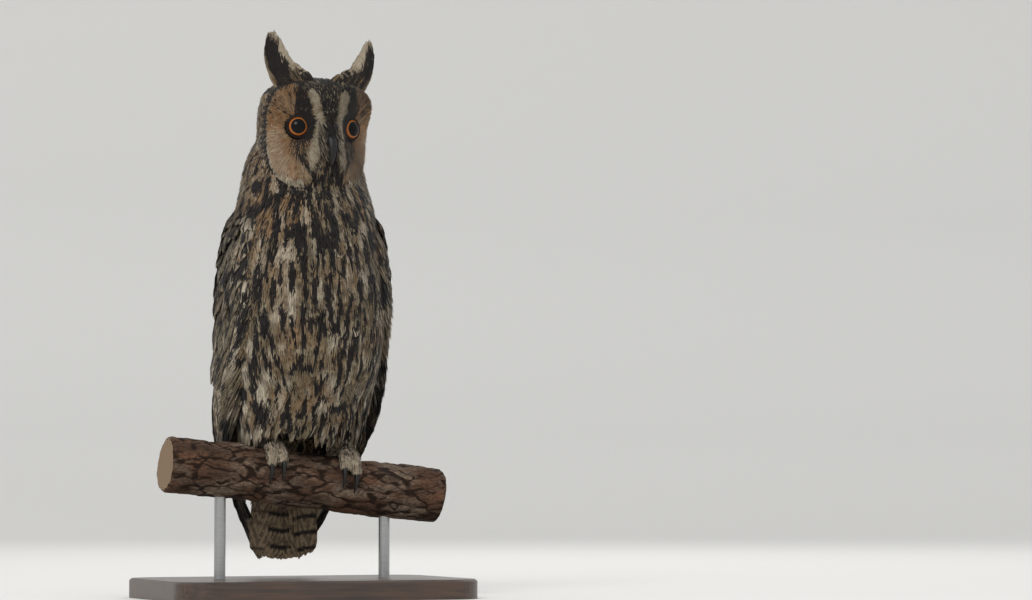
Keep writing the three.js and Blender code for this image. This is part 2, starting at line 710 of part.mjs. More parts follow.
function rod(side) {
  const x = (side * ROD.apart) / 2;
  const path = new THREE.LineCurve3(vector(x, 0, BASE.height + GAP), vector(x, 0, PERCH_TOP - PERCH.radius));
  return tube(path, 1, ROD.sides, () => [ROD.radius, ROD.radius]);
}

// The assembly
const toOwl = perchFrame;
const toStand = new THREE.Matrix4().makeTranslation(0, 0, PERCH_TOP).multiply(perchFrame);
const fromPerch = perchFrame.clone().invert();
const fromHead = headFrame.clone().invert();
const bothSides = [["left", 1], ["right", -1]];

const headGap = skull(GAP);
const ruffGap = join(ruff(1, GAP), ruff(-1, GAP));
const torsoGap = torsoBody(GAP);
const tailGap = tail(GAP);
const perchGap = perch(GAP);

const owl = new THREE.Group();
owl.position.z = PERCH_TOP;

owl.add(node("torso", torsoBody(), FEATHER));
const neckColumn = columnPart(NECK_BASE + GAP, COLUMN_CROWN, 7);
const neckGap = columnPart(NECK_BASE, COLUMN_CROWN, 7, GAP);
owl.add(node("neck", cut(neckColumn, aboveCollar(0)), FEATHER));
owl.add(node("tail", cut(tail(), torsoGap), FEATHER));

bothSides.forEach(([name, side]) => {
  owl.add(node(`wing_${name}`, cut(wing(name, side), torsoGap, neckGap, tailGap), FEATHER));
});

const head = new THREE.Group();
head.position.set(0, -HEAD.forward, HEAD.height);
head.rotation.z = HEAD.yaw;
owl.add(head);

const billGap = upperBill(GAP);
const nape = moved(cut(neckColumn, belowCollar(GAP)), fromHead);
const face = cut(join(skull(), ruff(1), ruff(-1)), moved(belowCollar(GAP), fromHead));
const eyeGaps = [eyeball(1, GAP), eyeball(-1, GAP)];
head.add(node("head", cut(join(face, nape, lids(1), lids(-1)), eyeGaps), DISC_FEATHER));
head.add(node("bill_upper", cut(upperBill(), headGap, nostril(1), nostril(-1)), HORN));
head.add(node("bill_lower", cut(lowerBill(), headGap, billGap), HORN));
bothSides.forEach(([name, side]) => {
  head.add(node(`eye_${name}`, eyeball(side), IRIS));
  head.add(node(`ear_tuft_${name}`, cut(tuft(name, side), headGap, ruffGap), FEATHER));
});

const grip = new THREE.Group();
grip.position.z = -PERCH.radius;
grip.rotation.y = PERCH.slope;
owl.add(grip);

bothSides.forEach(([name, side]) => {
  const footGap = foot(side, GAP);
  owl.add(
    node(`leg_${name}`, cut(leg(side), torsoGap, moved(footGap, toOwl), moved(perchGap, toOwl)), FEATHER),
  );
  grip.add(node(`foot_${name}`, cut(foot(side), perchGap), FEATHER));
  TOES.forEach((toe) => {
    grip.add(node(`claw_${name}_${toe.name}`, cut(claw(side, toe), footGap, perchGap), HORN));
  });
});

const stand = new THREE.Group();
stand.add(node("stand_base", standBase(), STAND_WOOD));
bothSides.forEach(([name, side]) => {
  stand.add(node(`stand_rod_${name}`, cut(rod(side), moved(perchGap, toStand)), STEEL));
});
grip.add(node("perch_branch", perch(), BARK));

const group = new THREE.Group();
group.add(owl, stand);

export default group;
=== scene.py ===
# %% [markdown]
# # A long-eared owl, life size, as a museum shows it
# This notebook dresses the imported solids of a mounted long-eared owl. The solids fix where
# everything is; here the bird gets its skin, its feathers, its eyes and its bill, and the branch
# and the stand get their surfaces. Every length below is in millimetres, in the owl's own frame:
# the origin is on top of the perch, the owl faces -Y and its left side is at +X. One helper turns
# such points into Blender's metres when a piece is made.

# %% Load the solids
import math
import bpy
import numpy as np
from mathutils import Matrix, Vector, noise
from mathutils.bvhtree import BVHTree


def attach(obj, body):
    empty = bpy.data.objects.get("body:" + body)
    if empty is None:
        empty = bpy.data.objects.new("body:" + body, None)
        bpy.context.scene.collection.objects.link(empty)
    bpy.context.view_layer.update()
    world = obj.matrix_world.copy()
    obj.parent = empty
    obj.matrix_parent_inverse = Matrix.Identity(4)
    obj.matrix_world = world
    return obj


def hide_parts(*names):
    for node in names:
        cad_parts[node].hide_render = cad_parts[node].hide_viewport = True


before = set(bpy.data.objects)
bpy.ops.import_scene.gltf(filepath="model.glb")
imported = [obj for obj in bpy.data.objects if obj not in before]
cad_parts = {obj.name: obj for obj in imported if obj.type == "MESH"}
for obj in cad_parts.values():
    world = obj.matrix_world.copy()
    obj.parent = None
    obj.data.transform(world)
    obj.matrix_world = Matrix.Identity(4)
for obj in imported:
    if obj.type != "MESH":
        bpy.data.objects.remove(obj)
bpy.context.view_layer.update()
PERCH_TOP = 104.0  # height of the perch's top over the table
MM_PER_METRE = 1000

# %% [markdown]
# ## The camera
# The photo was taken with a long lens from a little below the bird, so the view is nearly flat.
# The camera stands 2.5 m away, turned 23 degrees to the owl's right and 3 degrees below level,
# and the length of its lens follows from the scale of the photo, 1.40 pixels to a millimetre.

# %% Camera
PHOTO_WIDTH, PHOTO_HEIGHT = 1032, 600
PIXELS_PER_MM = 1.40
CAMERA_DISTANCE = 2500.0
AZIMUTH, ELEVATION = math.radians(-23), math.radians(-3)
PERCH_PIXEL = (303, 452)  # where the perch's top, under the owl, is in the photo
SENSOR = 36.0

back = Vector((
    math.sin(AZIMUTH) * math.cos(ELEVATION),
    -math.cos(AZIMUTH) * math.cos(ELEVATION),
    math.sin(ELEVATION),
))
right = Vector((math.cos(AZIMUTH), math.sin(AZIMUTH), 0))
up = back.cross(right)
middle_of_view = (
    Vector((0, 0, PERCH_TOP))
    + right * (PHOTO_WIDTH / 2 - PERCH_PIXEL[0]) / PIXELS_PER_MM
    + up * (PERCH_PIXEL[1] - PHOTO_HEIGHT / 2) / PIXELS_PER_MM
)
lens = bpy.data.cameras.new("camera")
lens.sensor_width = SENSOR
lens.lens = SENSOR * PIXELS_PER_MM * CAMERA_DISTANCE / PHOTO_WIDTH
lens.clip_end = 20  # metres
camera = bpy.data.objects.new("camera", lens)
camera.matrix_world = Matrix.Translation(
    (middle_of_view + back * CAMERA_DISTANCE) / MM_PER_METRE
) @ Matrix((right, up, back)).transposed().to_4x4()
bpy.context.scene.collection.objects.link(camera)
bpy.context.scene.camera = camera
print("lens", round(lens.lens, 1), "mm, camera height", round(camera.matrix_world.translation.z, 3), "m")

# %% [markdown]
# ## The owl's forms
# A bird's outline is made by its plumage, and changes smoothly from crown to tail. So the body is
# one upright form: at each height it has a half-width, a front and a back, and its section is a
# rounded square. The numbers are the same that the solids use, so skin and feathers fit them.

# %% Smooth lines and upright forms
def through(places, values):
    """A smooth line through knots, flat past both ends."""
    places, values = np.array(places, float), np.array(values, float)
    count = len(places)
    low = np.maximum(np.arange(count) - 1, 0)
    high = np.minimum(np.arange(count) + 1, count - 1)
    slopes = (values[high] - values[low]) / (places[high] - places[low])

    def line(at):
        """The line's values at any places."""
        at = np.clip(at, places[0], places[-1])
        i = np.clip(np.searchsorted(places, at), 1, count - 1)
        width = places[i] - places[i - 1]
        t = (at - places[i - 1]) / width
        rise = (2 * t - 3) * t * t
        ends = values[i - 1] * (1 + rise) - values[i] * rise
        return ends + width * t * (1 - t) * (slopes[i - 1] * (1 - t) - slopes[i] * t)

    return line


def xyz(x, y, z):
    """Points from their coordinates, each a number or an array."""
    return np.stack(np.broadcast_arrays(x, y, z), -1)


def upright(sections, squareness=2.3, behind=2.3):
    """A surface that gives the point for a bearing in degrees, a height and a growth."""
    heights, half, front, rear, widest = np.array(sections, float).T
    half, front, rear, widest = (through(heights, v) for v in (half, front, rear, widest))

    def surface(bearing, height, grow=0.0):
        """Points at bearings from the front, positive to the left, and at heights."""
        bearing, height, grow = np.broadcast_arrays(bearing, height, grow)
        s, c = np.sin(np.radians(bearing)), np.cos(np.radians(bearing))
        power = 2 / np.where(c > 0, squareness, behind)
        aside = np.sign(s) * np.abs(s) ** power
        ahead = np.sign(c) * np.abs(c) ** power
        middle = widest(height)
        reach = np.where(c > 0, front(height) + middle, rear(height) - middle) + grow
        return xyz((half(height) + grow) * aside, middle - reach * ahead, height)

    return surface


def smooth_between(value, low, high):
    """0 up to low, 1 from high on, and a smooth rise between them."""
    t = np.clip((value - low) / (high - low), 0, 1)
    return t * t * (3 - 2 * t)


# height, half-width, front, back, how far behind the axis it is widest
COLUMN = [
    (12, 12, 4, 28, 0), (15, 22, 12, 35, 0), (21, 34, 24, 40, 0), (30, 42, 34, 43, 0),
    (43, 48.5, 43, 46, 0), (60, 53, 51, 47, 0), (80, 55.5, 55.5, 46, 0), (100, 56, 57.5, 45, 0),
    (115, 56, 57.5, 44, 0), (130, 55, 56, 43, 0), (155, 51.5, 52, 41, 0), (172, 49, 46.5, 40, 0),
    (190, 45, 38, 39, 0), (203, 42.5, 32, 37, 0), (216, 38, 27, 31, 0), (226, 31, 20, 22, 0),
    (236, 20, 10, 12, 0),
]
SKULL = [
    (-47, 7, 7, 7, 0), (-45.5, 17, 17, 15, 0), (-41, 26, 24.5, 30, 0), (-34, 32, 28.5, 43, 0),
    (-22, 35.5, 31, 49, 0), (-8, 36.5, 32, 48.5, -1), (3, 37, 32.5, 46.5, -2),
    (12, 38.5, 32.5, 42.5, -5), (19, 38.5, 32, 38, -8), (26, 36.5, 30, 33.5, -8),
    (32, 29.5, 25.5, 28, -8), (36, 19, 18, 20, -5), (37.5, 8, 9, 10, 0),
]
MANTLE = [
    (-78, 20, -46, 58, 53), (-50, 33, -36, 60, 47), (-25, 44, -22, 60, 41), (0, 53, -4, 60, 34),
    (20, 59.5, 12, 60, 27), (43, 62.5, 28, 58, 20), (73, 62.5, 44, 56, 13), (100, 63, 54, 55, 8),
    (130, 61.5, 53, 53, 7), (155, 57.5, 49, 50, 5), (166, 54, 45, 47, 4), (178, 49, 38, 44, 3),
]
column_at = upright(COLUMN)
skull_at = upright(SKULL, squareness=2.35, behind=2.0)
mantle_at = upright(MANTLE)

HEAD_MIDDLE, HEAD_YAW = np.array([0, -15.0, 228.0]), math.radians(5)
HEAD_TURN = np.array([
    [math.cos(HEAD_YAW), math.sin(HEAD_YAW), 0], [-math.sin(HEAD_YAW), math.cos(HEAD_YAW), 0], [0, 0, 1],
])
# a facial disc's middle and half-width in degrees of bearing, its middle height, and its reach up and down
DISC_BEARING, DISC_SPREAD, DISC_MIDDLE, DISC_UP, DISC_DOWN = 40.0, 37.0, -4.0, 34.0, 38.0
DISH, RIM, RIM_WIDTH = 6.5, 1.8, 0.17  # depth of the dish, height and relative width of its rim


def face_at(bearing, height, grow=0.0):
    """The head's surface, with its two facial discs dished about the eyes."""
    across = (np.abs(bearing) - DISC_BEARING) / DISC_SPREAD
    along = (height - DISC_MIDDLE) / np.where(height > DISC_MIDDLE, DISC_UP, DISC_DOWN)
    share = np.hypot(across, along)
    dish = DISH * np.clip(1 - share**2, 0, 1) ** 1.5
    outer = smooth_between(across / np.maximum(share, 0.1), -0.7, 0.1)
    rim = RIM * outer * np.exp(-(((share - 1) / RIM_WIDTH) ** 2))
    return skull_at(bearing, height, grow - dish + rim)


def from_head(points):
    """Points in the head's frame, as points in the owl's."""
    return points @ HEAD_TURN + HEAD_MIDDLE


def to_head(points):
    """Points in the owl's frame, as points in the head's."""
    return (points - HEAD_MIDDLE) @ HEAD_TURN.T


crown = from_head(face_at(0.0, SKULL[-1][0]))
print("crown over the perch:", round(float(crown[2]), 1), "mm")

# %% [markdown]
# ## Making meshes from rows of points
# Nearly everything on this bird is a sheet or a tube of points in rows, so one function makes a
# Blender mesh from points and faces, and turns millimetres in the owl's frame into metres.

# %% Mesh helpers
def unit(vectors):
    """The same directions, each of length one."""
    return vectors / np.maximum(np.linalg.norm(vectors, axis=-1, keepdims=True), 1e-9)


def full_turn(count):
    """Angles spread evenly round a circle."""
    return np.linspace(0, 2 * np.pi, count, endpoint=False)


def make_object(name, points, faces, material=None):
    """A mesh object from points in the owl's frame. Faces are one array of quads, or a list."""
    mesh = bpy.data.meshes.new(name)
    placed = (np.asarray(points, float).reshape(-1, 3) + (0, 0, PERCH_TOP)) / MM_PER_METRE
    if isinstance(faces, np.ndarray):
        mesh.vertices.add(len(placed))
        mesh.vertices.foreach_set("co", placed.ravel())
        mesh.loops.add(faces.size)
        mesh.loops.foreach_set("vertex_index", faces.ravel().astype(np.int32))
        mesh.polygons.add(len(faces))
        mesh.polygons.foreach_set("loop_start", np.arange(0, faces.size, faces.shape[1], dtype=np.int32))
        mesh.update(calc_edges=True)
    else:
        mesh.from_pydata(placed.tolist(), [], faces)
    mesh.polygons.foreach_set("use_smooth", [True] * len(mesh.polygons))
    piece = bpy.data.objects.new(name, mesh)
    bpy.context.scene.collection.objects.link(piece)
    if material:
        mesh.materials.append(material)
    return piece


def ring_faces(rings, start=0):
    """Quads over rings of points that close round, with a face over each end."""
    rows, columns = rings.shape[:2]
    faces = []
    for row in range(rows - 1):
        for i in range(columns):
            a = start + row * columns + i
            b = start + row * columns + (i + 1) % columns
            faces.append((a, b, b + columns, a + columns))
    faces.append(tuple(start + i for i in reversed(range(columns))))
    faces.append(tuple(start + (rows - 1) * columns + i for i in range(columns)))
    return faces


def tube(points, sizes, sides):
    """Rings of points round a path: sizes are the half-width and half-height at each point."""
    points, sizes = np.asarray(points, float), np.asarray(sizes, float)
    along = unit(np.gradient(points, axis=0))
    across = unit(np.array([1.0, 0, 0]) - along * along[:, :1])
    upward = np.cross(across, along)
    turn = full_turn(sides)
    return (
        points[:, None]
        + across[:, None] * (sizes[:, None, :1] * np.cos(turn)[None, :, None])
        + upward[:, None] * (sizes[:, None, 1:] * np.sin(turn)[None, :, None])
    )


straight = tube([(0, 0, 0), (0, 0, 10)], [(2, 2), (2, 2)], 12)
print("a tube's points and faces:", straight.shape, len(ring_faces(straight)))

# %% [markdown]
# ## The body under the coat
# Neck, breast, skull, legs and toes are separate forms that a taxidermist would join under one
# skin. Here they are joined by a voxel remesh, which melts closed forms that overlap into one
# surface, and then smoothed. That surface is the coat's outside. The feathers are laid on it, and
# the skin lies a few millimetres inside it.

# %% Coat form
PERCH_RADIUS, PERCH_SLOPE = 20.0, math.radians(6)
FEET_APART, TOE_RADIUS = 60.0, 4.6
TOE_PRESSED = 0.6  # how far a toe sinks into the bark
# where each toe starts and ends round the perch, in degrees, and how far aside its tip and root are
TOES = {
    "inner": (8, 66, -7, -3), "middle": (8, 74, 2, 1), "outer": (-6, -52, 9, 4), "hind": (-6, -50, -6, -3),
}


def from_perch(points):
    """Points in the perch's frame, whose axis is X, as points in the owl's."""
    c, s = math.cos(PERCH_SLOPE), math.sin(PERCH_SLOPE)
    turned = np.asarray(points, float) @ np.array([[c, 0, -s], [0, 1, 0], [s, 0, c]])
    return turned - (0, 0, PERCH_RADIUS)


def round_perch(x, turn, radius):
    """Points in the perch's frame, turned forward from its top."""
    return xyz(x, -radius * np.sin(turn), radius * np.cos(turn))


def grid_of(surface, heights, count=72):
    """Rings of points over an upright surface, one for each height."""
    bearings = np.linspace(-180, 180, count, endpoint=False)
    return surface(bearings[None, :], heights[:, None])


def leg_rings(side):
    """A leg from inside the belly down to the perch."""
    x = side * FEET_APART / 2
    fall = x * math.tan(PERCH_SLOPE)
    share = np.linspace(0, 1, 8)
    # from 40 mm over the perch's top, inside the belly, to 6 mm over the sloping bark
    path = xyz(x, -4 + 3 * share**2, 40 - (34 + fall) * share)
    return tube(path, np.stack([11 - 3 * share, 13 - 4 * share], -1), 16)


def toe_rings(side, toe):
    """A toe bent round the perch, thinner towards its claw."""
    first, last, tip_aside, root_aside = TOES[toe]
    share = np.linspace(0, 1, 10)
    x = side * (FEET_APART / 2 + (root_aside + (tip_aside - root_aside) * np.minimum(share + 0.1, 1)))
    turn = np.radians(first + (last - first) * share)
    size = TOE_RADIUS * (1 - 0.28 * share**3)
    path = round_perch(x, turn, PERCH_RADIUS + TOE_RADIUS - TOE_PRESSED)
    return from_perch(tube(path, np.stack([size, size], -1), 12))


def ankle_rings(side):
    """The foot's middle, where leg and toes meet."""
    share = np.linspace(0, 1, 6)
    path = xyz(side * FEET_APART / 2, 2 - 3 * share, PERCH_RADIUS - 2 + 13 * share)
    return from_perch(tube(path, np.stack([7.5 - 1.5 * share, 8.5 - 2 * share], -1), 12))


def joined(forms, start=0):
    """The points of several closed forms, and their faces as one list."""
    faces = []
    for rings in forms:
        faces += ring_faces(rings, start)
        start += rings.shape[0] * rings.shape[1]
    return np.concatenate([rings.reshape(-1, 3) for rings in forms]), faces


def melted(name, points, faces, voxel, smoothing):
    """One closed surface from forms that overlap, as points in the owl's frame, normals and faces."""
    rough = make_object(name, points, faces)
    remesh = rough.modifiers.new("melt", "REMESH")
    remesh.mode = "VOXEL"
    remesh.voxel_size = voxel / MM_PER_METRE
    soften = rough.modifiers.new("soften", "SMOOTH")
    soften.factor, soften.iterations = 0.5, smoothing
    graph = bpy.context.evaluated_depsgraph_get()
    mesh = bpy.data.meshes.new_from_object(rough.evaluated_get(graph))
    co = np.zeros(len(mesh.vertices) * 3)
    mesh.vertices.foreach_get("co", co)
    normal = np.zeros(len(mesh.vertices) * 3)
    mesh.vertices.foreach_get("normal", normal)
    polygons = [tuple(p.vertices) for p in mesh.polygons]
    bpy.data.objects.remove(rough)
    bpy.data.meshes.remove(mesh)
    return co.reshape(-1, 3) * MM_PER_METRE - (0, 0, PERCH_TOP), normal.reshape(-1, 3), polygons


# the skull's rings lie closer at its foot and its crown
skull_foot, skull_top = SKULL[0][0], SKULL[-1][0]
skull_heights = skull_foot + (skull_top - skull_foot) * (1 - np.cos(np.linspace(0, np.pi, 44))) / 2
forms = [
    grid_of(column_at, np.linspace(COLUMN[0][0], COLUMN[-1][0], 60)),
    from_head(grid_of(face_at, skull_heights, 96)),
]
for side in (1, -1):
    forms += [leg_rings(side), ankle_rings(side)]
    forms += [toe_rings(side, toe) for toe in TOES]
coat_points, coat_normals, coat_faces = melted("coat_form", *joined(forms), voxel=1.5, smoothing=4)
coat_tree = BVHTree.FromPolygons([Vector(p) for p in coat_points], coat_faces)
coat_face_normals = unit(np.array([coat_normals[list(face)].mean(0) for face in coat_faces]))
print("coat form:", len(coat_points), "points")

# %% [markdown]
# ## Colours and nodes
# Blender mixes light in linear values, so one function turns the hex colours of a screen into
# them. Another adds a node, sets it and links it in one line, which keeps a material readable. An
# input without a name of its own goes by its number: a Mix node's two colours are inputs 6 and 7.

# %% Colours and node helper
def linear(hex_colour):
    """An sRGB hex value as a linear colour."""
    values = [int(hex_colour[i:i + 2], 16) / 255 for i in (1, 3, 5)]
    return tuple(v / 12.92 if v <= 0.04045 else ((v + 0.055) / 1.055) ** 2.4 for v in values) + (1.0,)


def add(tree, kind, output=0, **given):
    """Adds a node and gives one output. Small words set the node, others its inputs, _1 the second."""
    made = tree.nodes.new("ShaderNode" + kind)
    for key, value in given.items():
        if key[0].islower():
            setattr(made, key, value)
            continue
        socket = made.inputs[int(key[1:])] if key[0] == "_" else made.inputs[key.replace("_", " ")]
        if isinstance(value, bpy.types.NodeSocket):
            tree.links.new(value, socket)
        else:
            socket.default_value = linear(value) if isinstance(value, str) else value
    return made.outputs[output] if made.outputs else made


def new_material(name):
    """An empty material and its tree of nodes."""
    material = bpy.data.materials.new(name)
    material.use_nodes = True
    material.node_tree.nodes.clear()
    return material, material.node_tree


print("black-brown in linear light:", [round(v, 4) for v in linear("#1d1612")[:3]])

# %% [markdown]
# ## Plumage
# Feathers are keratin coloured by melanin: black-brown where it is dense, rust and buff where it is
# thin, off-white where there is none. They are matt, because their barbs scatter the light, so the
# material is rough, with a faint sheen along the barbs. The pattern could be painted on an image;
# here each corner of a feather carries four numbers instead, the marks: how dark it is, how rusty,
# how pale, and how barred. The skin below carries the same marks. Real barbs lie 0.3 mm apart,
# which is too fine to show, so the fine grain is drawn about three times as coarse.

# %% Plumage material
GREY_BUFF, RUST, PALE = "#73674f", "#8f6136", "#bfb39e"
BLACK_BROWN, SHADE = "#17110e", "#40352a"
GRAIN, MOTTLE = 1 / 0.0009, 1 / 0.0038  # one over the size of each pattern, in metres
BAR_WAVES, BARB_WAVES = 52.0, 110.0  # radians from a vane's root to its tip


def make_plumage(name, in_vanes):
    """Feather keratin: matt, mottled, with fine barbs that run off the shaft where there are vanes."""
    material, tree = new_material(name)
    marks = add(tree, "Attribute", "Color", attribute_name="marks")
    barred = marks.node.outputs["Alpha"]
    dark, rust, pale = add(tree, "SeparateColor", Color=marks).node.outputs[:3]
    place = add(tree, "TexCoord", "Object")
    fine = add(tree, "TexNoise", Vector=place, Scale=GRAIN, Detail=2.0)
    mottle = add(tree, "TexNoise", Vector=place, Scale=MOTTLE, Detail=3.0)
    shade = add(tree, "MapRange", Value=mottle, From_Min=0.42, From_Max=0.75)
    ground = add(tree, "Mix", 2, data_type="RGBA", _0=shade, _6=GREY_BUFF, _7=SHADE)
    ground = add(tree, "Mix", 2, data_type="RGBA", _0=rust, _6=ground, _7=RUST)
    ground = add(tree, "Mix", 2, data_type="RGBA", _0=pale, _6=ground, _7=PALE)
    relief, waves = fine, mottle
    if in_vanes:
        across, along = add(tree, "SeparateXYZ", Vector=add(tree, "UVMap", uv_map="vane")).node.outputs[:2]
        aside = add(tree, "Math", operation="PINGPONG", _0=across, _1=0.5)
        slant = add(tree, "Math", operation="MULTIPLY_ADD", _0=aside, _1=-0.35, _2=along)
        bars = add(tree, "Math", operation="MULTIPLY", _0=slant, _1=BAR_WAVES)
        bars = add(tree, "Math", operation="SINE", _0=bars)
        waves = add(tree, "Math", operation="MULTIPLY_ADD", _0=bars, _1=0.13, _2=mottle)
        barbs = add(tree, "Math", operation="MULTIPLY", _0=slant, _1=BARB_WAVES)
        barbs = add(tree, "Math", operation="SINE", _0=barbs)
        relief = add(tree, "Math", operation="MULTIPLY_ADD", _0=barbs, _1=0.2, _2=fine)
    lines = add(tree, "MapRange", Value=waves, From_Min=0.5, From_Max=0.6)
    lines = add(tree, "Math", operation="MULTIPLY", _0=lines, _1=barred)
    colour = add(tree, "Mix", 2, data_type="RGBA", _0=lines, _6=ground, _7=BLACK_BROWN)
    ragged = add(tree, "Math", operation="MULTIPLY_ADD", _0=fine, _1=0.7, _2=dark)
    inside = add(tree, "MapRange", interpolation_type="SMOOTHSTEP", Value=ragged, From_Min=0.68, From_Max=1.0)
    colour = add(tree, "Mix", 2, data_type="RGBA", _0=inside, _6=colour, _7=BLACK_BROWN)
    grain = add(tree, "MapRange", Value=relief, From_Min=0.2, From_Max=0.85, To_Min=0.7, To_Max=1.22)
    tinted = add(tree, "HueSaturation", Color=colour, Value=grain)
    bump = add(tree, "Bump", Height=relief, Strength=0.4, Distance=0.0004)
    add(tree, "OutputMaterial", Surface=add(
        tree, "BsdfPrincipled", Base_Color=tinted, Normal=bump, Roughness=0.8, Specular_IOR_Level=0.3,
        Sheen_Weight=0.1, Sheen_Roughness=0.5))
    return material


plumage = make_plumage("feather_keratin", True)
skin_down = make_plumage("feathered_skin", False)
print("plumage materials:", plumage.name, skin_down.name)

# %% [markdown]
# ## Where the marks go
# A long-eared owl hides by looking like bark. Its breast has long, ragged, black-brown streaks over
# buff that draw together towards the belly. Its back and wings are grey-brown, blotched and finely
# barred, with pale spots. Its face has a black patch over each eye, two pale brows that narrow
# between the eyes and run on beside the bill, and rusty discs inside a pale and then a dark rim.
# These functions turn a place on the bird into the four marks, so skin and feathers agree.

# %% Marks of the body
NOISE_GAIN = 1.6  # the noise seldom passes 0.6, so this brings it to about -1 to 1


def cloud(points, size, seed):
    """Smooth noise from -1 to 1, with patches of about the given size in millimetres."""
    shift = Vector((seed * 13.7, seed * 7.1, seed * 3.3))
    scaled = np.asarray(points).reshape(-1, 3) / size
    return np.array([noise.noise(Vector(p) + shift) for p in scaled]) * NOISE_GAIN


def stack_marks(dark, rust, pale, barred):
    """The four marks side by side, each kept from 0 to 1."""
    return np.clip(np.stack(np.broadcast_arrays(dark, rust, pale, barred), -1), 0, 1)


# mm from the breast's midline to its side at each height, which streaks and feathers follow
WIDEST = 66.0
breast_fan = through([20, 60, 110, 150, 185, 215], [46, 58, WIDEST, 62, 52, 42])
STREAK_WIDTH, STREAK_DRAWN = 3.8, 0.175  # mm across, and how much slower they change downwards


def body_marks(points):
    """The marks for places on the neck and body, in the owl's frame."""
    x, y, z = points.T
    bearing = np.degrees(np.arctan2(x, -y))
    front = smooth_between(-np.abs(bearing), -120, -80)
    # streaks are noise drawn out downwards, and gathered where the breast narrows
    gather = WIDEST / breast_fan(z)
    wavy = x + 1.4 * cloud(points, 15, 19)
    drawn = xyz(wavy * gather, y * (0.6 + 0.4 * gather), STREAK_DRAWN * z)
    lines = cloud(drawn, STREAK_WIDTH, 1) + 0.4 * cloud(drawn * (1, 1, 1.5), 2.0, 2)
    # they are closer on the chest and the throat, and sparser on the belly
    chest = smooth_between(z, 130, 175)
    belly = smooth_between(-z, -85, -35)
    limit = -0.02 - 0.1 * chest - 0.2 * smooth_between(z, 182, 205) + 0.1 * belly
    streak = smooth_between(lines, limit, limit + 0.16)
    # blotches take their place on the flanks and the back
    blotch = cloud(points * (1, 1, 0.5), 8, 3) + 0.4 * cloud(points * (1, 1, 0.4), 2.5, 4)
    flank = smooth_between(np.abs(bearing), 48, 66)
    dark = streak * (1 - flank) + flank * smooth_between(blotch, 0.0, 0.3)
    # the ground is buff with pale specks, and rusty on the right of the upper breast
    speck = cloud(points * (1, 1, 0.45), 7, 5)
    warm = smooth_between(z, 140, 165) * smooth_between(-z, -205, -185) * smooth_between(-x, 0, 25) * front
    rust = 0.15 + 0.16 * cloud(points, 26, 6) + 0.27 * warm
    pale = 0.06 + (0.6 + 0.4 * flank) * speck + 0.1 * belly * front - 0.1 * warm
    barred = 0.28 + 0.4 * (1 - front) + 0.25 * cloud(points, 9, 7)
    return stack_marks(dark, rust, pale, barred)


on_breast = xyz(np.linspace(-30, 30, 600), -50.0, np.linspace(100, 190, 600))
print("dark share of the breast:", round(float(body_marks(on_breast)[:, 0].mean()), 2))

# %% Marks of the head
BROW_HEIGHTS = [-30, -23, -16, -8, 1, 10, 17, 23, 28]
brow_middle = through(BROW_HEIGHTS, [13, 11.5, 9.5, 8, 7.6, 9.2, 11, 12.3, 13.5])
brow_half = through(BROW_HEIGHTS, [0.5, 3.2, 4.4, 4.4, 3.1, 2.7, 3.2, 3.9, 0.1])


def face_marks(points):
    """The marks for places on the front of the head, in the head's frame."""
    x, _, z = points.T
    aside = np.abs(x)
    speck = cloud(points, 2.2, 8)
    blur = cloud(points, 6, 9)
    # the pale brows, and the black patch over each eye and ring round it
    brow = smooth_between(brow_half(z) + 0.5 * blur - np.abs(aside - brow_middle(z)), -0.6, 1.2)
    patch = smooth_between(1.1 - np.hypot((aside - 18.8) / 7, (z - 17) / 15) + 0.3 * blur, 0, 0.45)
    round_eye = np.hypot(aside - 21, z - 1)
    socket = smooth_between(9.4 - round_eye + 4.2 * smooth_between(-aside, -20, -14), 0, 2.4)
    # shadows under the eye, over it, beside the bill and on the chin
    below = 0.6 * smooth_between(1.2 - np.hypot((aside - 19) / 9, (z + 15) / 12), 0, 0.7)
    dim = (0.34 + 0.2 * speck) * smooth_between(z + 0.3 * aside, 8, 20) * smooth_between(aside, 14, 20)
    diagonal = 0.8 * smooth_between(4.2 - np.abs((aside - 5) * 0.82 - (z + 42) * 0.56), 0, 4) * (z < -18)
    chin = (0.6 + 0.3 * blur) * smooth_between(-z, 24, 34) * smooth_between(-aside, -15, -6)
    # the forehead between the brows is black-brown with fine pale specks
    between = smooth_between(brow_middle(z) - brow_half(z) - aside, -0.5, 1.5) * smooth_between(z, -34, -28)
    between = np.maximum(between, smooth_between(z, 24, 28) * smooth_between(-aside, -27, -20))
    forehead = (0.74 + 0.45 * cloud(points, 1.3, 18)) * between
    dark = np.maximum.reduce([0.85 * patch, socket, below, dim, diagonal, chin, forehead]) * (1 - 0.9 * brow)
    # rust deepens towards the disc's outer side, and its edge is pale
    outer = smooth_between(aside, 20, 28)
    edge = smooth_between(aside + 0.3 * np.abs(z + 4), 30, 37)
    rust = 0.37 + 0.3 * outer + 0.18 * blur - 0.68 * brow - 0.42 * between
    pale = 0.28 * brow + 0.08 + 0.1 * cloud(points, 9, 10) + 0.3 * edge * smooth_between(-z, -5, 10)
    return stack_marks(dark + 0.22 * speck, rust, pale, 0.12)


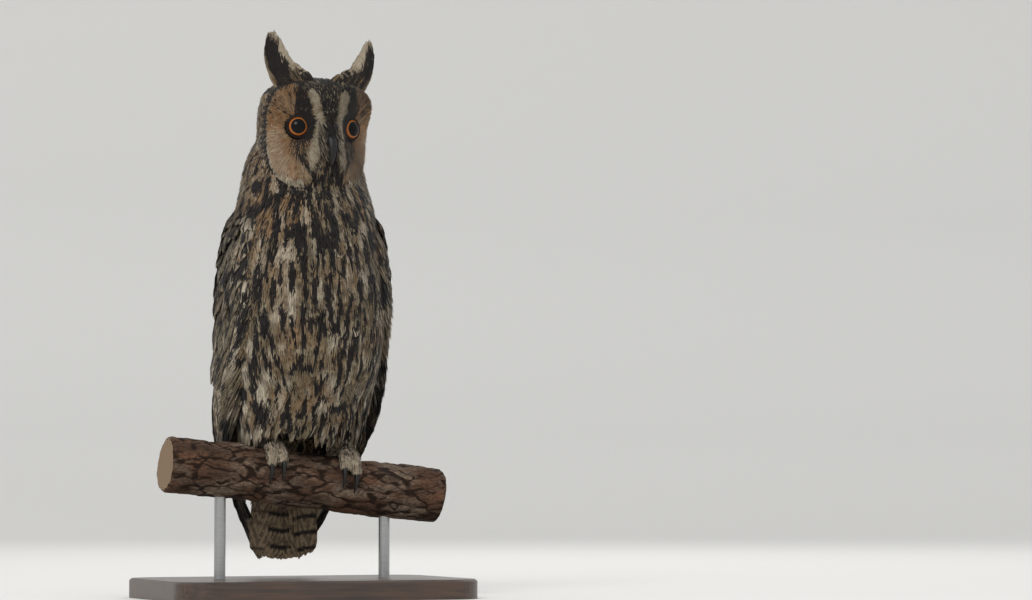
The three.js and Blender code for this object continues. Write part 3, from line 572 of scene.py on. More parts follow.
def crown_marks(points):
    """The marks for the crown, cheeks and nape, in the head's frame."""
    _, y, z = points.T
    top = smooth_between(z, 12, 28)
    # streaks run back over the crown and down the cheeks and nape, closest over the forehead
    down = cloud(points * (1, 1, 0.3), 4, 11)
    back_over = cloud(points * (1, 0.3, 1), 4, 12)
    lines = top * back_over + (1 - top) * down + 0.4 * cloud(points, 2, 13)
    before = top * smooth_between(-y, 4, 18)
    streak = smooth_between(lines, 0.05 - 0.2 * top - 0.45 * before, 0.45 - 0.1 * top - 0.3 * before)
    streak = np.maximum(streak, (0.6 + 0.6 * cloud(points, 2.2, 17)) * before)
    rust = 0.22 - 0.18 * before + 0.2 * (1 - before) * cloud(points, 16, 14)
    pale = 0.1 + 0.45 * cloud(points * (1, 1, 0.6), 3.6, 15) - 0.12 * top - 0.3 * before
    return stack_marks(0.8 * streak, rust, pale, 0.45 + 0.3 * cloud(points, 8, 16))


def on_face(points):
    """How far a place in the head's frame is on the facial discs, 1 well inside them."""
    x, y, z = points.T
    along = (z - DISC_MIDDLE) / np.where(z > DISC_MIDDLE, DISC_UP, DISC_DOWN)
    across = np.clip(np.abs(x) / 35, 0, 2)
    return smooth_between(1.02 - np.hypot(across**1.6, np.abs(along) ** 1.4), 0, 0.12) * (y < -8)


def above_neck(in_head):
    """How high a place is over the throat, on a scale that slants down towards the nape."""
    return in_head[:, 2] + 0.55 * in_head[:, 1]


def all_marks(points):
    """The marks for any place on the skin, in the owl's frame."""
    in_head = to_head(points)
    on_head = smooth_between(above_neck(in_head), -42, -30)[:, None]
    facing = on_face(in_head)[:, None]
    head = crown_marks(in_head) * (1 - facing) + face_marks(in_head) * facing
    return body_marks(points) * (1 - on_head) + on_head * head


print("marks beside the bill:", face_marks(np.array([[8.0, -30.0, -8.0]])).round(2))

# %% [markdown]
# ## The skin
# One skin stands for all the nodes of flesh. It is the coat's form, moved in by the depth of the
# feathers: 4 mm on the body, where they are long, and about 1 mm on the face and toes. The folded
# wings get a core of their own inside it, so that no gap shows between the vanes.

# %% Skin
wing_front = through([-78, -40, 0, 30, 60, 100, 140, 178], [60, 66, 76, 78, 70, 60, 54, 62])
wing_back = through([-78, -40, 0, 60, 130, 160, 178], [120, 140, 158, 168, 169, 160, 128])
BODY_DEPTH, HEAD_DEPTH, FACE_DEPTH, TOE_DEPTH = 4.2, 2.4, 1.1, 1.0  # from the coat's outside to the skin
CORE_DEPTH = 5.2  # from the folded wing's outside to its pad


def wing_at(side, share, height, lift):
    """A place on the folded wing: a share of the way from its front edge to its back edge."""
    bearing = wing_front(height) + (wing_back(height) - wing_front(height)) * share
    return mantle_at(side * bearing, height, lift)


def wing_core(side):
    """A closed pad under the coverts, as rings that run round from front to back."""
    heights = np.linspace(-6, 174, 26)[:, None]
    share = np.linspace(0.06, 0.95, 14)[None, :]
    thick = 2.4 + 6 * smooth_between(heights, 10, 60)
    outer = wing_at(side, share, heights, -CORE_DEPTH - 3 * smooth_between(heights, 158, 176))
    inner = wing_at(side, share, heights, -CORE_DEPTH - thick)
    return np.concatenate([outer, inner[:, ::-1]], 1)


def depth_at(points):
    """How deep the skin lies under the coat's outside."""
    in_head = to_head(points)
    head = smooth_between(in_head[:, 2], -46, -30)
    face = on_face(in_head)
    low = smooth_between(-points[:, 2], -30, -14)
    body = BODY_DEPTH * (1 - low) + TOE_DEPTH * low
    return body * (1 - head) + head * (HEAD_DEPTH - (HEAD_DEPTH - FACE_DEPTH) * face)


def put_colours(mesh, title, colours):
    """Four numbers for each point, kept on the mesh for its material to read."""
    layer = mesh.color_attributes.new(title, "FLOAT_COLOR", "POINT")
    layer.data.foreach_set("color", np.asarray(colours, np.float32).ravel())


skin_points = coat_points - coat_normals * depth_at(coat_points)[:, None]
core_points, core_faces = joined([wing_core(1), wing_core(-1)], len(skin_points))
skin_points, _, skin_faces = melted(
    "skin", np.concatenate([skin_points, core_points]), coat_faces + core_faces, voxel=1.6, smoothing=3)
skin = make_object("skin", skin_points, skin_faces, skin_down)
# between the feathers the skin shows as a shade a little calmer than theirs
put_colours(skin.data, "marks", all_marks(skin_points) * (0.75, 1, 0.6, 0.8))
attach(skin, "root")
FLESH = ["head", "neck", "torso", "leg_left", "leg_right", "foot_left", "foot_right"]
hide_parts(*FLESH)
print("skin:", len(skin_points), "points")

# %% [markdown]
# ## How a feather is made
# A feather is a shaft with a vane on each side, a little arched across and rounded or frayed at its
# tip. Here it is a small sheet of rows and columns along a line of points. The same function makes
# them all, thousands at a time: it needs the middle line, the way out, and the half-widths. Hair
# particles would be quicker to set up, but a mesh can be exported, and each vane can have its shape.

# %% Feather sheets
rng = np.random.default_rng(7)
PATCH, MARGIN = 0.003, 0.02  # of the bake map: how wide one feather is, and what stays free at its edges
LONGEST_RAGGED = 25.0  # mm; the tips of longer feathers are no more ragged than this one's


def either_way(*shape):
    """Random numbers from -1 to 1."""
    return rng.uniform(-1, 1, shape)


def sheets(middle, out, half, place, columns, camber, fray, thick=0.0):
    """Feathers as (N, rows) lines of points: their sheets of points, and what each one carries."""
    middle, out = np.asarray(middle, float), unit(out)
    along = unit(np.gradient(middle, axis=1))
    across = unit(np.cross(out, along))
    count, rows = middle.shape[:2]
    half = np.broadcast_to(half, (count, rows)) * (1 + fray * either_way(count, rows))
    column = np.linspace(-1, 1, columns)
    points = middle[:, :, None] + across[:, :, None] * (half[:, :, None, None] * column[:, None])
    points = points - out[:, :, None] * (camber * half[:, :, None, None] * column[:, None] ** 2)
    length = np.linalg.norm(middle[:, -1] - middle[:, 0], axis=-1)[:, None, None]
    ragged = fray * np.minimum(length, LONGEST_RAGGED) * either_way(count, columns)[..., None]
    points[:, -1] += along[:, -1][:, None] * ragged
    return {"points": points, "place": np.asarray(place), "out": out, "thick": thick}


def give_marks(batch, dark, rust, pale, barred):
    """The same sheets with marks that are worked out on the sheet itself."""
    marks = stack_marks(dark, rust, pale, barred)
    batch["marks"] = np.broadcast_to(marks, batch["points"].shape[:3] + (4,))
    return batch


def marked(batch, marks_at, jitter, tone):
    """The same sheets with the marks of each of their points, and a tone of its own for each sheet."""
    points = batch["points"]
    count = len(points)
    moved = points + jitter * rng.normal(0, 1, (count, 1, 1, 3))
    marks = marks_at(moved.reshape(-1, 3)).reshape(points.shape[:3] + (4,))
    shift = tone * rng.normal(0, 1, (count, 1, 1, 4)) * (1, 1, 1, 0)
    batch["marks"] = np.clip(marks + shift, 0, 1)
    return batch


def put_map(mesh, title, places):
    """A UV map, from a place for each point."""
    corners = np.zeros(len(mesh.loops), np.int32)
    mesh.loops.foreach_get("vertex_index", corners)
    layer = mesh.uv_layers.new(name=title)
    layer.data.foreach_set("uv", places.reshape(-1, 2)[corners].astype(np.float32).ravel())


def quads_over(grid):
    """Quads between the rows and columns of a grid of point numbers."""
    return np.stack([grid[:-1, :-1], grid[:-1, 1:], grid[1:, 1:], grid[1:, :-1]], -1).reshape(-1, 4)


def feather_piece(name, batches, replaces=(), under=1.0):
    """One object from batches of sheets, with a bake map that fills the square.

    Thick sheets get an underside, whose dark mark is multiplied by the last number.
    """
    points, faces, vane, bake, marks, start = [], [], [], [], [], 0
    places = np.concatenate([batch["place"] for batch in batches])
    lowest, span = places.min(0), np.ptp(places, axis=0)
    for batch in batches:
        sheet = batch["points"]
        count, rows, columns = sheet.shape[:3]
        quads = quads_over(np.arange(rows * columns).reshape(rows, columns))
        u, v = np.meshgrid(np.linspace(0, 1, columns), np.linspace(0, 1, rows))
        local = np.stack([u, v], -1).reshape(1, -1, 2)
        layers = [sheet]
        if batch["thick"]:
            layers.append(sheet - batch["out"][:, :, None] * batch["thick"])
        for number, layer in enumerate(layers):
            turned = quads if number == 0 else quads[:, ::-1]
            starts = start + np.arange(count)[:, None, None] * rows * columns
            faces.append((starts + turned[None]).reshape(-1, 4))
            points.append(layer.reshape(-1, 3))
            vane.append(np.broadcast_to(local, (count, rows * columns, 2)).reshape(-1, 2))
            spot = MARGIN + (1 - 2 * MARGIN) * (batch["place"] - lowest) / span
            bake.append((spot[:, None] + PATCH * (local - 0.5)).reshape(-1, 2))
            marks.append(batch["marks"].reshape(-1, 4) * (under if number else 1, 1, 1, 1))
            start += count * rows * columns
    faces = np.concatenate(faces)
    piece = make_object(name, np.concatenate(points), faces, plumage)
    spread = np.concatenate(bake)
    put_map(piece.data, "OFBake", spread)
    put_map(piece.data, "vane", np.concatenate(vane))
    put_colours(piece.data, "marks", np.concatenate(marks))
    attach(piece, "root")
    if replaces:
        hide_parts(*replaces)
    low, high = spread.min(0).round(2), spread.max(0).round(2)
    print(name, "triangles:", 2 * len(faces), "bake map from", low, "to", high)


def fringe(batch, each, reach, width, lift=0.3):
    """Loose slivers that lie on sheets already made and run off their edges, as unzipped barbs do."""
    sheet = batch["points"]
    count, rows, columns = sheet.shape[:3]
    # which sheet each sliver lies on, and the rows and columns where its three points are
    which = np.repeat(np.arange(count), each)
    along = np.linspace(0, 1, 3)
    length = np.linalg.norm(sheet[:, -1, columns // 2] - sheet[:, 0, columns // 2], axis=-1)[which]
    step = reach * rng.uniform(0.6, 1.3, len(which)) / length * (rows - 1)
    first = rng.uniform(0.3, 1.0, len(which)) * (rows - 1) - 0.8 * step
    row = first[:, None] + step[:, None] * along
    edge = rng.beta(0.6, 0.6, len(which))[:, None]
    column = (edge + 0.12 * (edge - 0.5) * along) * (columns - 1)
    # those places on the sheet, from the four points round each, and a little past its edges
    low = np.clip(np.floor(row), 0, rows - 2).astype(int)
    left = np.clip(np.floor(column), 0, columns - 2).astype(int)
    down, aside = np.clip(row - low, -0.4, 1.4)[..., None], (column - left)[..., None]
    near, far = sheet[which[:, None], low, left], sheet[which[:, None], low, left + 1]
    near = near * (1 - down) + sheet[which[:, None], low + 1, left] * down
    far = far * (1 - down) + sheet[which[:, None], low + 1, left + 1] * down
    out = batch["out"][which[:, None], low]
    middle = near * (1 - aside) + far * aside + out * np.array([0.1, lift, lift * 1.3])[:, None]
    half = 0.5 * width * rng.uniform(0.7, 1.2, (len(which), 1)) * np.array([0.8, 1, 0.25])
    place = batch["place"][which] + 0.01 * either_way(len(which), 2)
    made = sheets(middle, out, half, place, 2, 0, 0.08)
    marks = batch["marks"][which[:, None], low, np.clip(np.round(column), 0, columns - 1).astype(int)]
    tone = 0.12 * rng.normal(0, 1, (len(which), 1, 4))
    made["marks"] = np.clip(np.repeat((marks + tone)[:, :, None], 2, axis=2) * (1, 1, 1, 0), 0, 1)
    return made


print("one feather on the bake map:", PATCH)

# %% [markdown]
# ## Laying feathers on the coat
# Feathers follow the skin, so each line of points is walked over the coat's form: it takes a step,
# drops to the nearest place on the form, turns with the surface, and steps again. Their roots are
# spread evenly, as in real feather tracts, by refusing any place too near one already taken.

# %% Laying and spreading
def lay(roots, directions, lengths, lifts):
    """Lines of points that follow the coat's surface from each root, lifted off it row by row."""
    lifts = np.broadcast_to(lifts, (len(roots), np.shape(lifts)[-1]))
    rows = lifts.shape[1]
    middle, out = np.zeros((len(roots), rows, 3)), np.zeros((len(roots), rows, 3))
    for i, (root, way, length) in enumerate(zip(roots, directions, lengths)):
        point, step = Vector(root), length / (rows - 1)
        for row in range(rows):
            found, _, face, _ = coat_tree.find_nearest(point)
            normal = coat_face_normals[face]
            way = way - normal * np.dot(way, normal)
            way = way / (np.linalg.norm(way) + 1e-9)
            middle[i, row] = np.array(found) + normal * lifts[i, row]
            out[i, row] = normal
            point = found + Vector(way * step)
    return middle, out


def scattered(spacing, keep, tries, seed):
    """Places spread over the coat's form, no closer than the spacing."""
    draw = np.random.default_rng(seed)
    quads = np.array([face[:4] if len(face) >= 4 else face + face[:1] for face in coat_faces])
    corners = coat_points[quads]
    wanted = np.nonzero(keep(corners.mean(1)))[0]
    area = np.linalg.norm(np.cross(corners[:, 2] - corners[:, 0], corners[:, 3] - corners[:, 1]), axis=-1)
    # random places on random faces, larger faces more often
    odds = area[wanted] / area[wanted].sum()
    a, b = draw.uniform(0, 1, (2, tries, 1))
    c = corners[wanted[draw.choice(len(wanted), tries, p=odds)]]
    points = (c[:, 0] * (1 - a) + c[:, 1] * a) * (1 - b) + (c[:, 3] * (1 - a) + c[:, 2] * a) * b
    # kept places are sorted into cells as wide as the spacing, so only 27 cells are searched
    taken, kept, far = {}, [], spacing * spacing
    for i, (x, y, z) in enumerate(points.tolist()):
        key = (int(x // spacing), int(y // spacing), int(z // spacing))
        near = (
            other for dx in (-1, 0, 1) for dy in (-1, 0, 1) for dz in (-1, 0, 1)
            for other in taken.get((key[0] + dx, key[1] + dy, key[2] + dz), ())
        )
        if all((x - q[0]) ** 2 + (y - q[1]) ** 2 + (z - q[2]) ** 2 > far for q in near):
            taken.setdefault(key, []).append((x, y, z))
            kept.append(i)
    return points[kept]


def round_map(points):
    """An unwrap of an upright form: its bearing runs across the map and its height up it."""
    bearing = np.arctan2(points[:, 0], -points[:, 1] + 0.001)
    return np.stack([bearing, points[:, 2]], -1)


print("coat form's faces to lay on:", len(coat_faces))

# %% [markdown]
# ## Feathers of the neck, breast and back
# Contour feathers point down and lie like tiles, each hiding most of the next. On an owl they are
# long, loose and soft at the edge, so no hard scales show. Each is rooted 4 mm deep and comes to
# the surface at its tip. A second layer of thin barbs, each about a millimetre wide, frays every
# edge and draws the streaks out, as the loose barbs do on the real bird.

# %% Body feathers
BODY_SPACING, BODY_LENGTH, BODY_WIDTH = 4.3, 17.0, 7.5
BODY_PROFILE = np.array([0.45, 0.9, 1.0, 0.82, 0.3])


def on_body(points):
    """Whether a place is on the neck or body, over the legs."""
    return (above_neck(to_head(points)) < -36) & (points[:, 2] > 9)


def under_wing(points):
    """Whether the folded wing covers a place on the body, well inside its edges."""
    bearing = np.abs(np.degrees(np.arctan2(points[:, 0], -points[:, 1])))
    height = points[:, 2]
    edge = wing_front(height) + (wing_back(height) - wing_front(height)) * 0.1
    return (bearing > edge + 8) & (bearing < wing_back(height) - 8) & (height < 161)


def downward(points):
    """The way the body's feathers point: down, fanned out over the breast and in under the belly."""
    x, y, z = points.T
    turn = x * (breast_fan(z - 1) / breast_fan(z) - 1) * (y < 0)
    return unit(xyz(turn + 0.1 * either_way(len(x)), 0, -1))


def body_feathers(name, keep, seed):
    """One piece of contour feathers, smaller towards the head."""
    roots = scattered(BODY_SPACING, keep, 30000, seed)
    count = len(roots)
    scale = rng.uniform(0.8, 1.15, count) * (1 - 0.3 * smooth_between(roots[:, 2], 160, 215))
    lifts = np.array([-3.6, -1.9, -0.8, 0.0, 0.6]) + 0.7 * either_way(count, 1) * [0, 0, 0.4, 0.8, 1]
    middle, out = lay(roots + [0, 0, 6], downward(roots), BODY_LENGTH * scale, lifts)
    half = 0.5 * BODY_WIDTH * scale[:, None] * BODY_PROFILE
    batch = sheets(middle, out, half, round_map(roots), 5, 0.25, 0.12)
    feather_piece(name, [marked(batch, body_marks, 0.5, 0.06)])


body_feathers("breast_feathers", lambda p: on_body(p) & (p[:, 1] < 8) & ~under_wing(p), 3)
body_feathers("back_feathers", lambda p: on_body(p) & (p[:, 1] >= 8) & ~under_wing(p), 4)

# %% Body barbs
def barbs(name, keep, spacing, length, width, marks_at, way_at, seed, lift=0.8, tries=70000):
    """Loose slivers over the coat, which fray the feathers' edges."""
    roots = scattered(spacing, keep, tries, seed)
    count = len(roots)
    lifts = np.array([-0.9, 0.1, 0.6 * lift, lift]) + 0.6 * either_way(count, 1) * [0.3, 0.6, 0.9, 1]
    middle, out = lay(roots, way_at(roots), length * rng.uniform(0.6, 1.3, count), lifts)
    half = 0.5 * width * rng.uniform(0.7, 1.2, (count, 1)) * np.array([0.7, 1, 0.8, 0.2])
    batch = sheets(middle, out, half, round_map(roots), 2, 0, 0.08)
    feather_piece(name, [marked(batch, marks_at, 0.4, 0.09)])


barbs("body_barbs", lambda p: on_body(p) & ~under_wing(p), 1.5, 9.5, 1.05, body_marks, downward, 5)

# %% [markdown]
# ## Crown, cheeks and nape
# The head's feathers are half the size of the breast's. They run back over the crown from the bill,
# and down over the cheeks and the nape, so the head looks round and smooth.

# %% Head feathers
HEAD_SPACING, HEAD_LENGTH, HEAD_WIDTH = 2.5, 8.0, 3.8


def backward(points):
    """The way the feathers of the crown, cheeks and nape point."""
    x, _, z = to_head(points).T
    top = smooth_between(z, 10, 30)
    way = xyz(0.01 * x * top, 0.15 + 0.85 * top, -1 + 0.9 * top)
    return unit(way @ HEAD_TURN + 0.1 * either_way(*way.shape))


def on_crown(points):
    """Whether a place is on the head and outside the facial discs."""
    in_head = to_head(points)
    return (above_neck(in_head) > -40) & (on_face(in_head) < 0.6)


def head_marks(points):
    """The crown's marks, passing into the body's at the neck."""
    in_head = to_head(points)
    share = smooth_between(above_neck(in_head), -42, -26)[:, None]
    return share * crown_marks(in_head) + (1 - share) * body_marks(points)


roots = scattered(HEAD_SPACING, on_crown, 30000, 6)
count = len(roots)
lifts = np.array([-1.8, -0.6, 0.2, 0.5]) + 0.4 * either_way(count, 1) * [0, 0.3, 0.7, 1]
middle, out = lay(roots, backward(roots), HEAD_LENGTH * rng.uniform(0.8, 1.2, count), lifts)
half = 0.5 * HEAD_WIDTH * rng.uniform(0.8, 1.15, (count, 1)) * np.array([0.5, 1, 0.9, 0.35])
small = sheets(middle, out, half, round_map(to_head(roots)), 3, 0.25, 0.1)
feather_piece("crown_feathers", [marked(small, head_marks, 0.3, 0.08)])
barbs("crown_barbs", on_crown, 1.2, 4.5, 0.8, head_marks, backward, 8, 0.5, 50000)

# %% [markdown]
# ## The facial discs
# The discs work as dishes that gather sound. Their feathers are stiff and open, almost bare shafts,
# and fan out from the eye to the rim. So each disc here is some six thousand slivers that radiate
# from the eye over the dished surface, each with a tone of its own so that the fan can be seen.

# %% Facial discs
EYE_APART, EYE_FORWARD, EYE_UP, EYE_RADIUS, EYE_SPLAY = 37.0, 17.0, 1.0, 10.0, math.radians(20)
EYE_BEARING = 39.0  # degrees from the head's middle line
DISC_REACH = 24.0  # mm from the eye to the rim, about
LID_EDGE = 7.7  # mm from the eye's middle to where the feathers start


def disc_route(side, turn, share, lift):
    """A place on a disc: a turn about the eye, and a share of the way from the eye to the rim."""
    reach = np.where(np.sin(turn) > 0, DISC_UP, DISC_DOWN)
    rim_bearing = DISC_BEARING + DISC_SPREAD * np.cos(turn)
    rim_height = DISC_MIDDLE + reach * np.sin(turn)
    bearing = EYE_BEARING + (rim_bearing - EYE_BEARING) * share
    height = EYE_UP + (rim_height - EYE_UP) * share
    return face_at(side * bearing, height, lift)


def face_map(points):
    """An unwrap of the face, seen from the front."""
    return np.stack([points[:, 0], points[:, 2]], -1)


def moved_from_head(batch):
    """The same sheets, moved from the head's frame into the owl's."""
    batch["points"] = from_head(batch["points"])
    batch["out"] = batch["out"] @ HEAD_TURN
    return batch


def disc_slivers(side, count, first, last, length, width, lifts):
    """Slivers that fan out from the eye, and end between two shares of the way to the rim."""
    turn = rng.uniform(-np.pi, np.pi, (count, 1))
    end = np.sqrt(rng.uniform(first**2, last**2, (count, 1)))
    along = np.linspace(0, 1, len(lifts))
    reach = length * rng.uniform(0.7, 1.25, (count, 1)) / DISC_REACH
    fall = np.where(np.sin(turn) > 0, DISC_UP + DISC_MIDDLE - EYE_UP, DISC_DOWN - DISC_MIDDLE + EYE_UP)
    room = np.hypot(DISC_REACH * np.cos(turn), fall * np.sin(turn))
    share = np.maximum(end - reach * (1 - along), LID_EDGE / room)
    bend = turn + 0.07 * either_way(count, 1) * along
    lift = np.asarray(lifts) + 0.45 * either_way(count, 1) * along
    middle = disc_route(side, bend, share, lift)
    out = disc_route(side, bend, share, lift + 1) - middle
    half = 0.5 * width * rng.uniform(0.6, 1.3, (count, 1)) * np.interp(along, [0, 0.4, 1], [0.7, 1, 0.25])
    batch = sheets(middle, out, half, face_map(middle[:, 0]), 2, 0, 0.06)
    return moved_from_head(marked(batch, face_marks, 0.35, 0.11))


feather_piece("face_feathers", [
    disc_slivers(side, 6400, first=0.38, last=1.06, length=8, width=1.0, lifts=[-0.8, 0.1, 0.5, 0.9])
    for side in (1, -1)
])

# %% [markdown]
# ## The forehead
# Between the discs, small soft feathers stand up from the bill's root and fan out to the crown.
# They are the shortest on the bird, so loose slivers alone cover the skin there, and they carry
# the face's own marks: pale brows on either side of a dark, finely speckled wedge.

# %% Forehead
def on_forehead(points):
    """The wedge between the discs, from the bill's root to the crown."""
    in_head = to_head(points)
    x, y, z = in_head.T
    between = np.abs(x) < 3 + 0.42 * np.maximum(z + 2, 0)
    return (y < -8) & (z > -3) & between & (on_face(in_head) > 0.3)


def upward(points):
    """The way the forehead's feathers point: up from the bill, and a little aside."""
    way = xyz(0.03 * to_head(points)[:, 0], 0, 1)
    return unit(way @ HEAD_TURN + 0.12 * either_way(*way.shape))


def forehead_marks(points):
    """The face's marks, for places in the owl's frame."""
    return face_marks(to_head(points))


barbs("forehead_barbs", on_forehead, 1.0, 5.0, 0.9, forehead_marks, upward, 21, 0.5, 30000)

# %% [markdown]
# ## The ruff
# A ruff of short dense vanes closes each disc like the edge of a dish. Its inner row is off-white and
# finely speckled, the next is black-brown, which draws the owl's face as an outline, and the last
# one passes into the cheek. The rows lie like tiles, the inner over the outer.

# %% Ruff
def ruff(side, count, first, length, width, raised, marks_of):
    """One row of short, dense vanes round a disc's outer rim."""
    turn = np.radians(np.linspace(58, -104, count))[:, None] + 0.03 * either_way(count, 1)
    along = np.linspace(0, 1, 4)
    reach = length * rng.uniform(0.75, 1.2, (count, 1)) / DISC_REACH
    share = first + 0.03 * either_way(count, 1) + reach * along
    under_chin = smooth_between(-turn, 0.6, 1.3)
    share = share - 0.09 * under_chin
    lift = -0.8 + (raised + 1.7 * under_chin + 0.8) * along + 0.4 * either_way(count, 1) * along
    middle = disc_route(side, turn, share, lift)
    out = disc_route(side, turn, share, lift + 1) - middle
    half = 0.5 * width * rng.uniform(0.8, 1.2, (count, 1)) * np.array([0.7, 1, 0.9, 0.4])
    batch = sheets(middle, out, half, face_map(middle[:, 0]), 3, 0.15, 0.12)
    speck = rng.normal(0, 0.2, (count, 1, 1))
    low = smooth_between(-turn, -0.3, 0.5)[..., None]
    return moved_from_head(give_marks(batch, *marks_of(speck, along[None, :, None], low)))


def pale_row(speck, tip, low):
    """Off-white and speckled, darker at the tips over the eye."""
    return 0.15 + speck + 0.3 * tip * (1 - low), 0.4 - 0.3 * low, 0.2 + 0.3 * low + speck, 0.3


def dark_row(speck, tip, low):
    """Black-brown all round, with a few rusty vanes."""
    return 0.95 + 0.6 * speck, 0.3 + speck, 0.05, 0.3


def mixed_row(speck, tip, low):
    """Blotched like the cheek behind it."""
    return 0.42 + 0.5 * speck + 0.2 * tip, 0.3, 0.12 - 0.5 * speck, 0.5


rows = []
for side in (1, -1):
    rows.append(ruff(side, 260, 0.91, 5.0, 1.2, 1.1, pale_row))
    rows.append(ruff(side, 130, 1.02, 6.4, 2.6, 1.7, dark_row))
    rows.append(ruff(side, 100, 1.18, 7.0, 3.0, 1.3, mixed_row))
feather_piece("ruff_feathers", rows)

# %% [markdown]
# ## The ear tufts
# The tufts that give the bird its name aren't ears. They are long feathers on the crown over the
# eyes, raised when the bird stands slim and still. Together they make one blade: black-brown, with
# a broad pale inner edge and a thin pale line outside, and frayed towards the tip. So the marks
# follow the whole blade, and not each vane.

# %% Ear tufts
TUFT_FORWARD, TUFT_STAGGER, TUFT_LEAN = 16.0, 1.25, 1.5
# how far out and how high each vane's root and tip are, and how far it bows outwards
TUFT_VANES = np.array([
    (29, 28, 40.5, 58, 1.5), (27, 29, 39.3, 67.6, 4), (24, 30, 36.5, 68, 3.8),
    (20, 31, 32.5, 61.5, 3.2), (15, 32, 26, 48.5, 2), (8.5, 33, 15, 40.5, 0.5),
])
TUFT_RAISED = {1: 0.92, -1: 1.0}  # the left tuft stands a little lower


def tuft(side, count, width, depth=0.0, shorter=0.0):
    """One layer of a tuft's vanes, from the outer one to the inner one."""
    last = len(TUFT_VANES) - 1
    which = np.linspace(0, last, count) + 0.08 * either_way(count)
    root_out, root_up, tip_out, tip_up, bow = (
        np.interp(which, range(last + 1), column)[:, None] for column in TUFT_VANES.T
    )
    tip_up = tip_up - shorter + 0.6 * either_way(count, 1)
    along = np.linspace(0, 1, 10)
    crown_up = TUFT_VANES[0, 1]
    rise = (tip_up - crown_up) * TUFT_RAISED[side] + crown_up - root_up
    x = side * (root_out + (tip_out - root_out) * along + bow * np.sin(np.pi * along))
    y = TUFT_LEAN * along - TUFT_FORWARD - TUFT_STAGGER * which[:, None] - depth
    middle = xyz(x, y, root_up - 2 + (rise + 2) * along)
    out = np.broadcast_to([0.0, -1.0, 0.0], middle.shape)
    profile = np.interp(along, [0, 0.25, 0.6, 0.85, 1], [0.8, 1, 0.95, 0.74, 0.28])
    half = 0.5 * width * rng.uniform(0.85, 1.1, (count, 1)) * profile
    place = np.stack([middle[:, 0, 0] / 30, rng.uniform(0, 1, count)], -1)
    batch = sheets(middle, out, half, place, 5, 0.25, 0.06, thick=0.35)
    aside = (np.abs(batch["points"][..., 0]) - np.abs(middle[:, :, None, 0])) / width
    # a share of the way over the blade from its outer edge, and one from the crown to its tip
    blade = which[:, None, None] / last - 0.45 * aside + 0.05 * rng.normal(0, 1, (count, 1, 1))
    height = (batch["points"][..., 2] - 30) / 38
    inner = smooth_between(blade, 0.62 - 0.24 * height, 0.74 - 0.24 * height)
    inner = inner * smooth_between(height, 0.2, 0.55)
    outer = 0.55 * smooth_between(-blade, 0.02, 0.14)
    tip = 0.6 * smooth_between(along, 0.8, 1)[None, :, None]
    pale = np.clip(inner + outer + tip, 0, 1)
    base = smooth_between(-height, -0.45, -0.05)
    dark = (0.95 - 0.3 * base) * (1 - 1.25 * pale) + 0.1 * rng.normal(0, 1, (count, 1, 1))
    return moved_from_head(give_marks(batch, dark, 0.12 + 0.2 * outer + 0.1 * base, 0.55 * pale, 0.0))


for side, name in ((1, "left"), (-1, "right")):
    layers = [tuft(side, 17, 8.5), tuft(side, 15, 6.5, 0.7, 3), tuft(side, 11, 8, -0.9)]
    layers += [fringe(layer, 26, 5, 0.8, 0.25) for layer in layers]
    feather_piece("tuft_" + name, layers, replaces=("ear_tuft_" + name,))

# %% [markdown]
# ## The eyes
# An owl's eyes are fixed in its skull and look forward. This one's iris is orange, its pupil wide in
# the shade, and the clear cornea bulges over both and mirrors the lights. The eye is one smooth
# ball with a bulge, its rings coloured by their distance from the line of sight, and a clear coat
# stands for the wet cornea. A rim of bare black skin, thicker above, holds it like a drawstring.

# %% Iris and cornea
PUPIL_RADIUS, IRIS_RADIUS, LID_OPENING = 5.1, 6.7, 7.2
EYE_MAP = 24.0  # mm across the eye's own map
iris, tree = new_material("orange_iris_wet_cornea")
# the iris is matt and fibrous; the gloss is the wet cornea's, so the coat has it all
eye_map = add(tree, "UVMap", uv_map="eye")
centred = add(tree, "VectorMath", operation="SUBTRACT", _0=eye_map, _1=(0.5, 0.5, 0))
distance = add(tree, "VectorMath", "Value", operation="LENGTH", _0=centred)
distance = add(tree, "Math", operation="MULTIPLY", _0=distance, _1=EYE_MAP)
outwards = add(tree, "VectorMath", operation="NORMALIZE", _0=centred)
spokes = add(tree, "TexNoise", Vector=outwards, Scale=9.0, Detail=3.0)
out_from_pupil = add(tree, "MapRange", Value=distance, From_Min=PUPIL_RADIUS, From_Max=IRIS_RADIUS)
orange = add(tree, "Mix", 2, data_type="RGBA", _0=out_from_pupil, _6="#b87335", _7="#7f431d")
fibres = add(tree, "Math", operation="MULTIPLY", _0=spokes, _1=0.7)
orange = add(tree, "Mix", 2, data_type="RGBA", _0=fibres, _6=orange, _7="#5c2408")
pupil = add(tree, "MapRange", interpolation_type="SMOOTHSTEP", Value=distance,
            From_Min=PUPIL_RADIUS - 0.25, From_Max=PUPIL_RADIUS + 0.2)
edge = add(tree, "MapRange", interpolation_type="SMOOTHSTEP", Value=distance,
           From_Min=IRIS_RADIUS - 0.6, From_Max=IRIS_RADIUS + 0.2)
seen = add(tree, "Mix", 2, data_type="RGBA", _0=pupil, _6="#030303", _7=orange)
seen = add(tree, "Mix", 2, data_type="RGBA", _0=edge, _6=seen, _7="#090706")
add(tree, "OutputMaterial", Surface=add(
    tree, "BsdfPrincipled", Base_Color=seen, Roughness=0.6, IOR=1.38, Specular_IOR_Level=0.05,
    Coat_Weight=0.4, Coat_Roughness=0.02, Coat_IOR=1.38))
print("iris ring, in mm:", round(IRIS_RADIUS - PUPIL_RADIUS, 1))

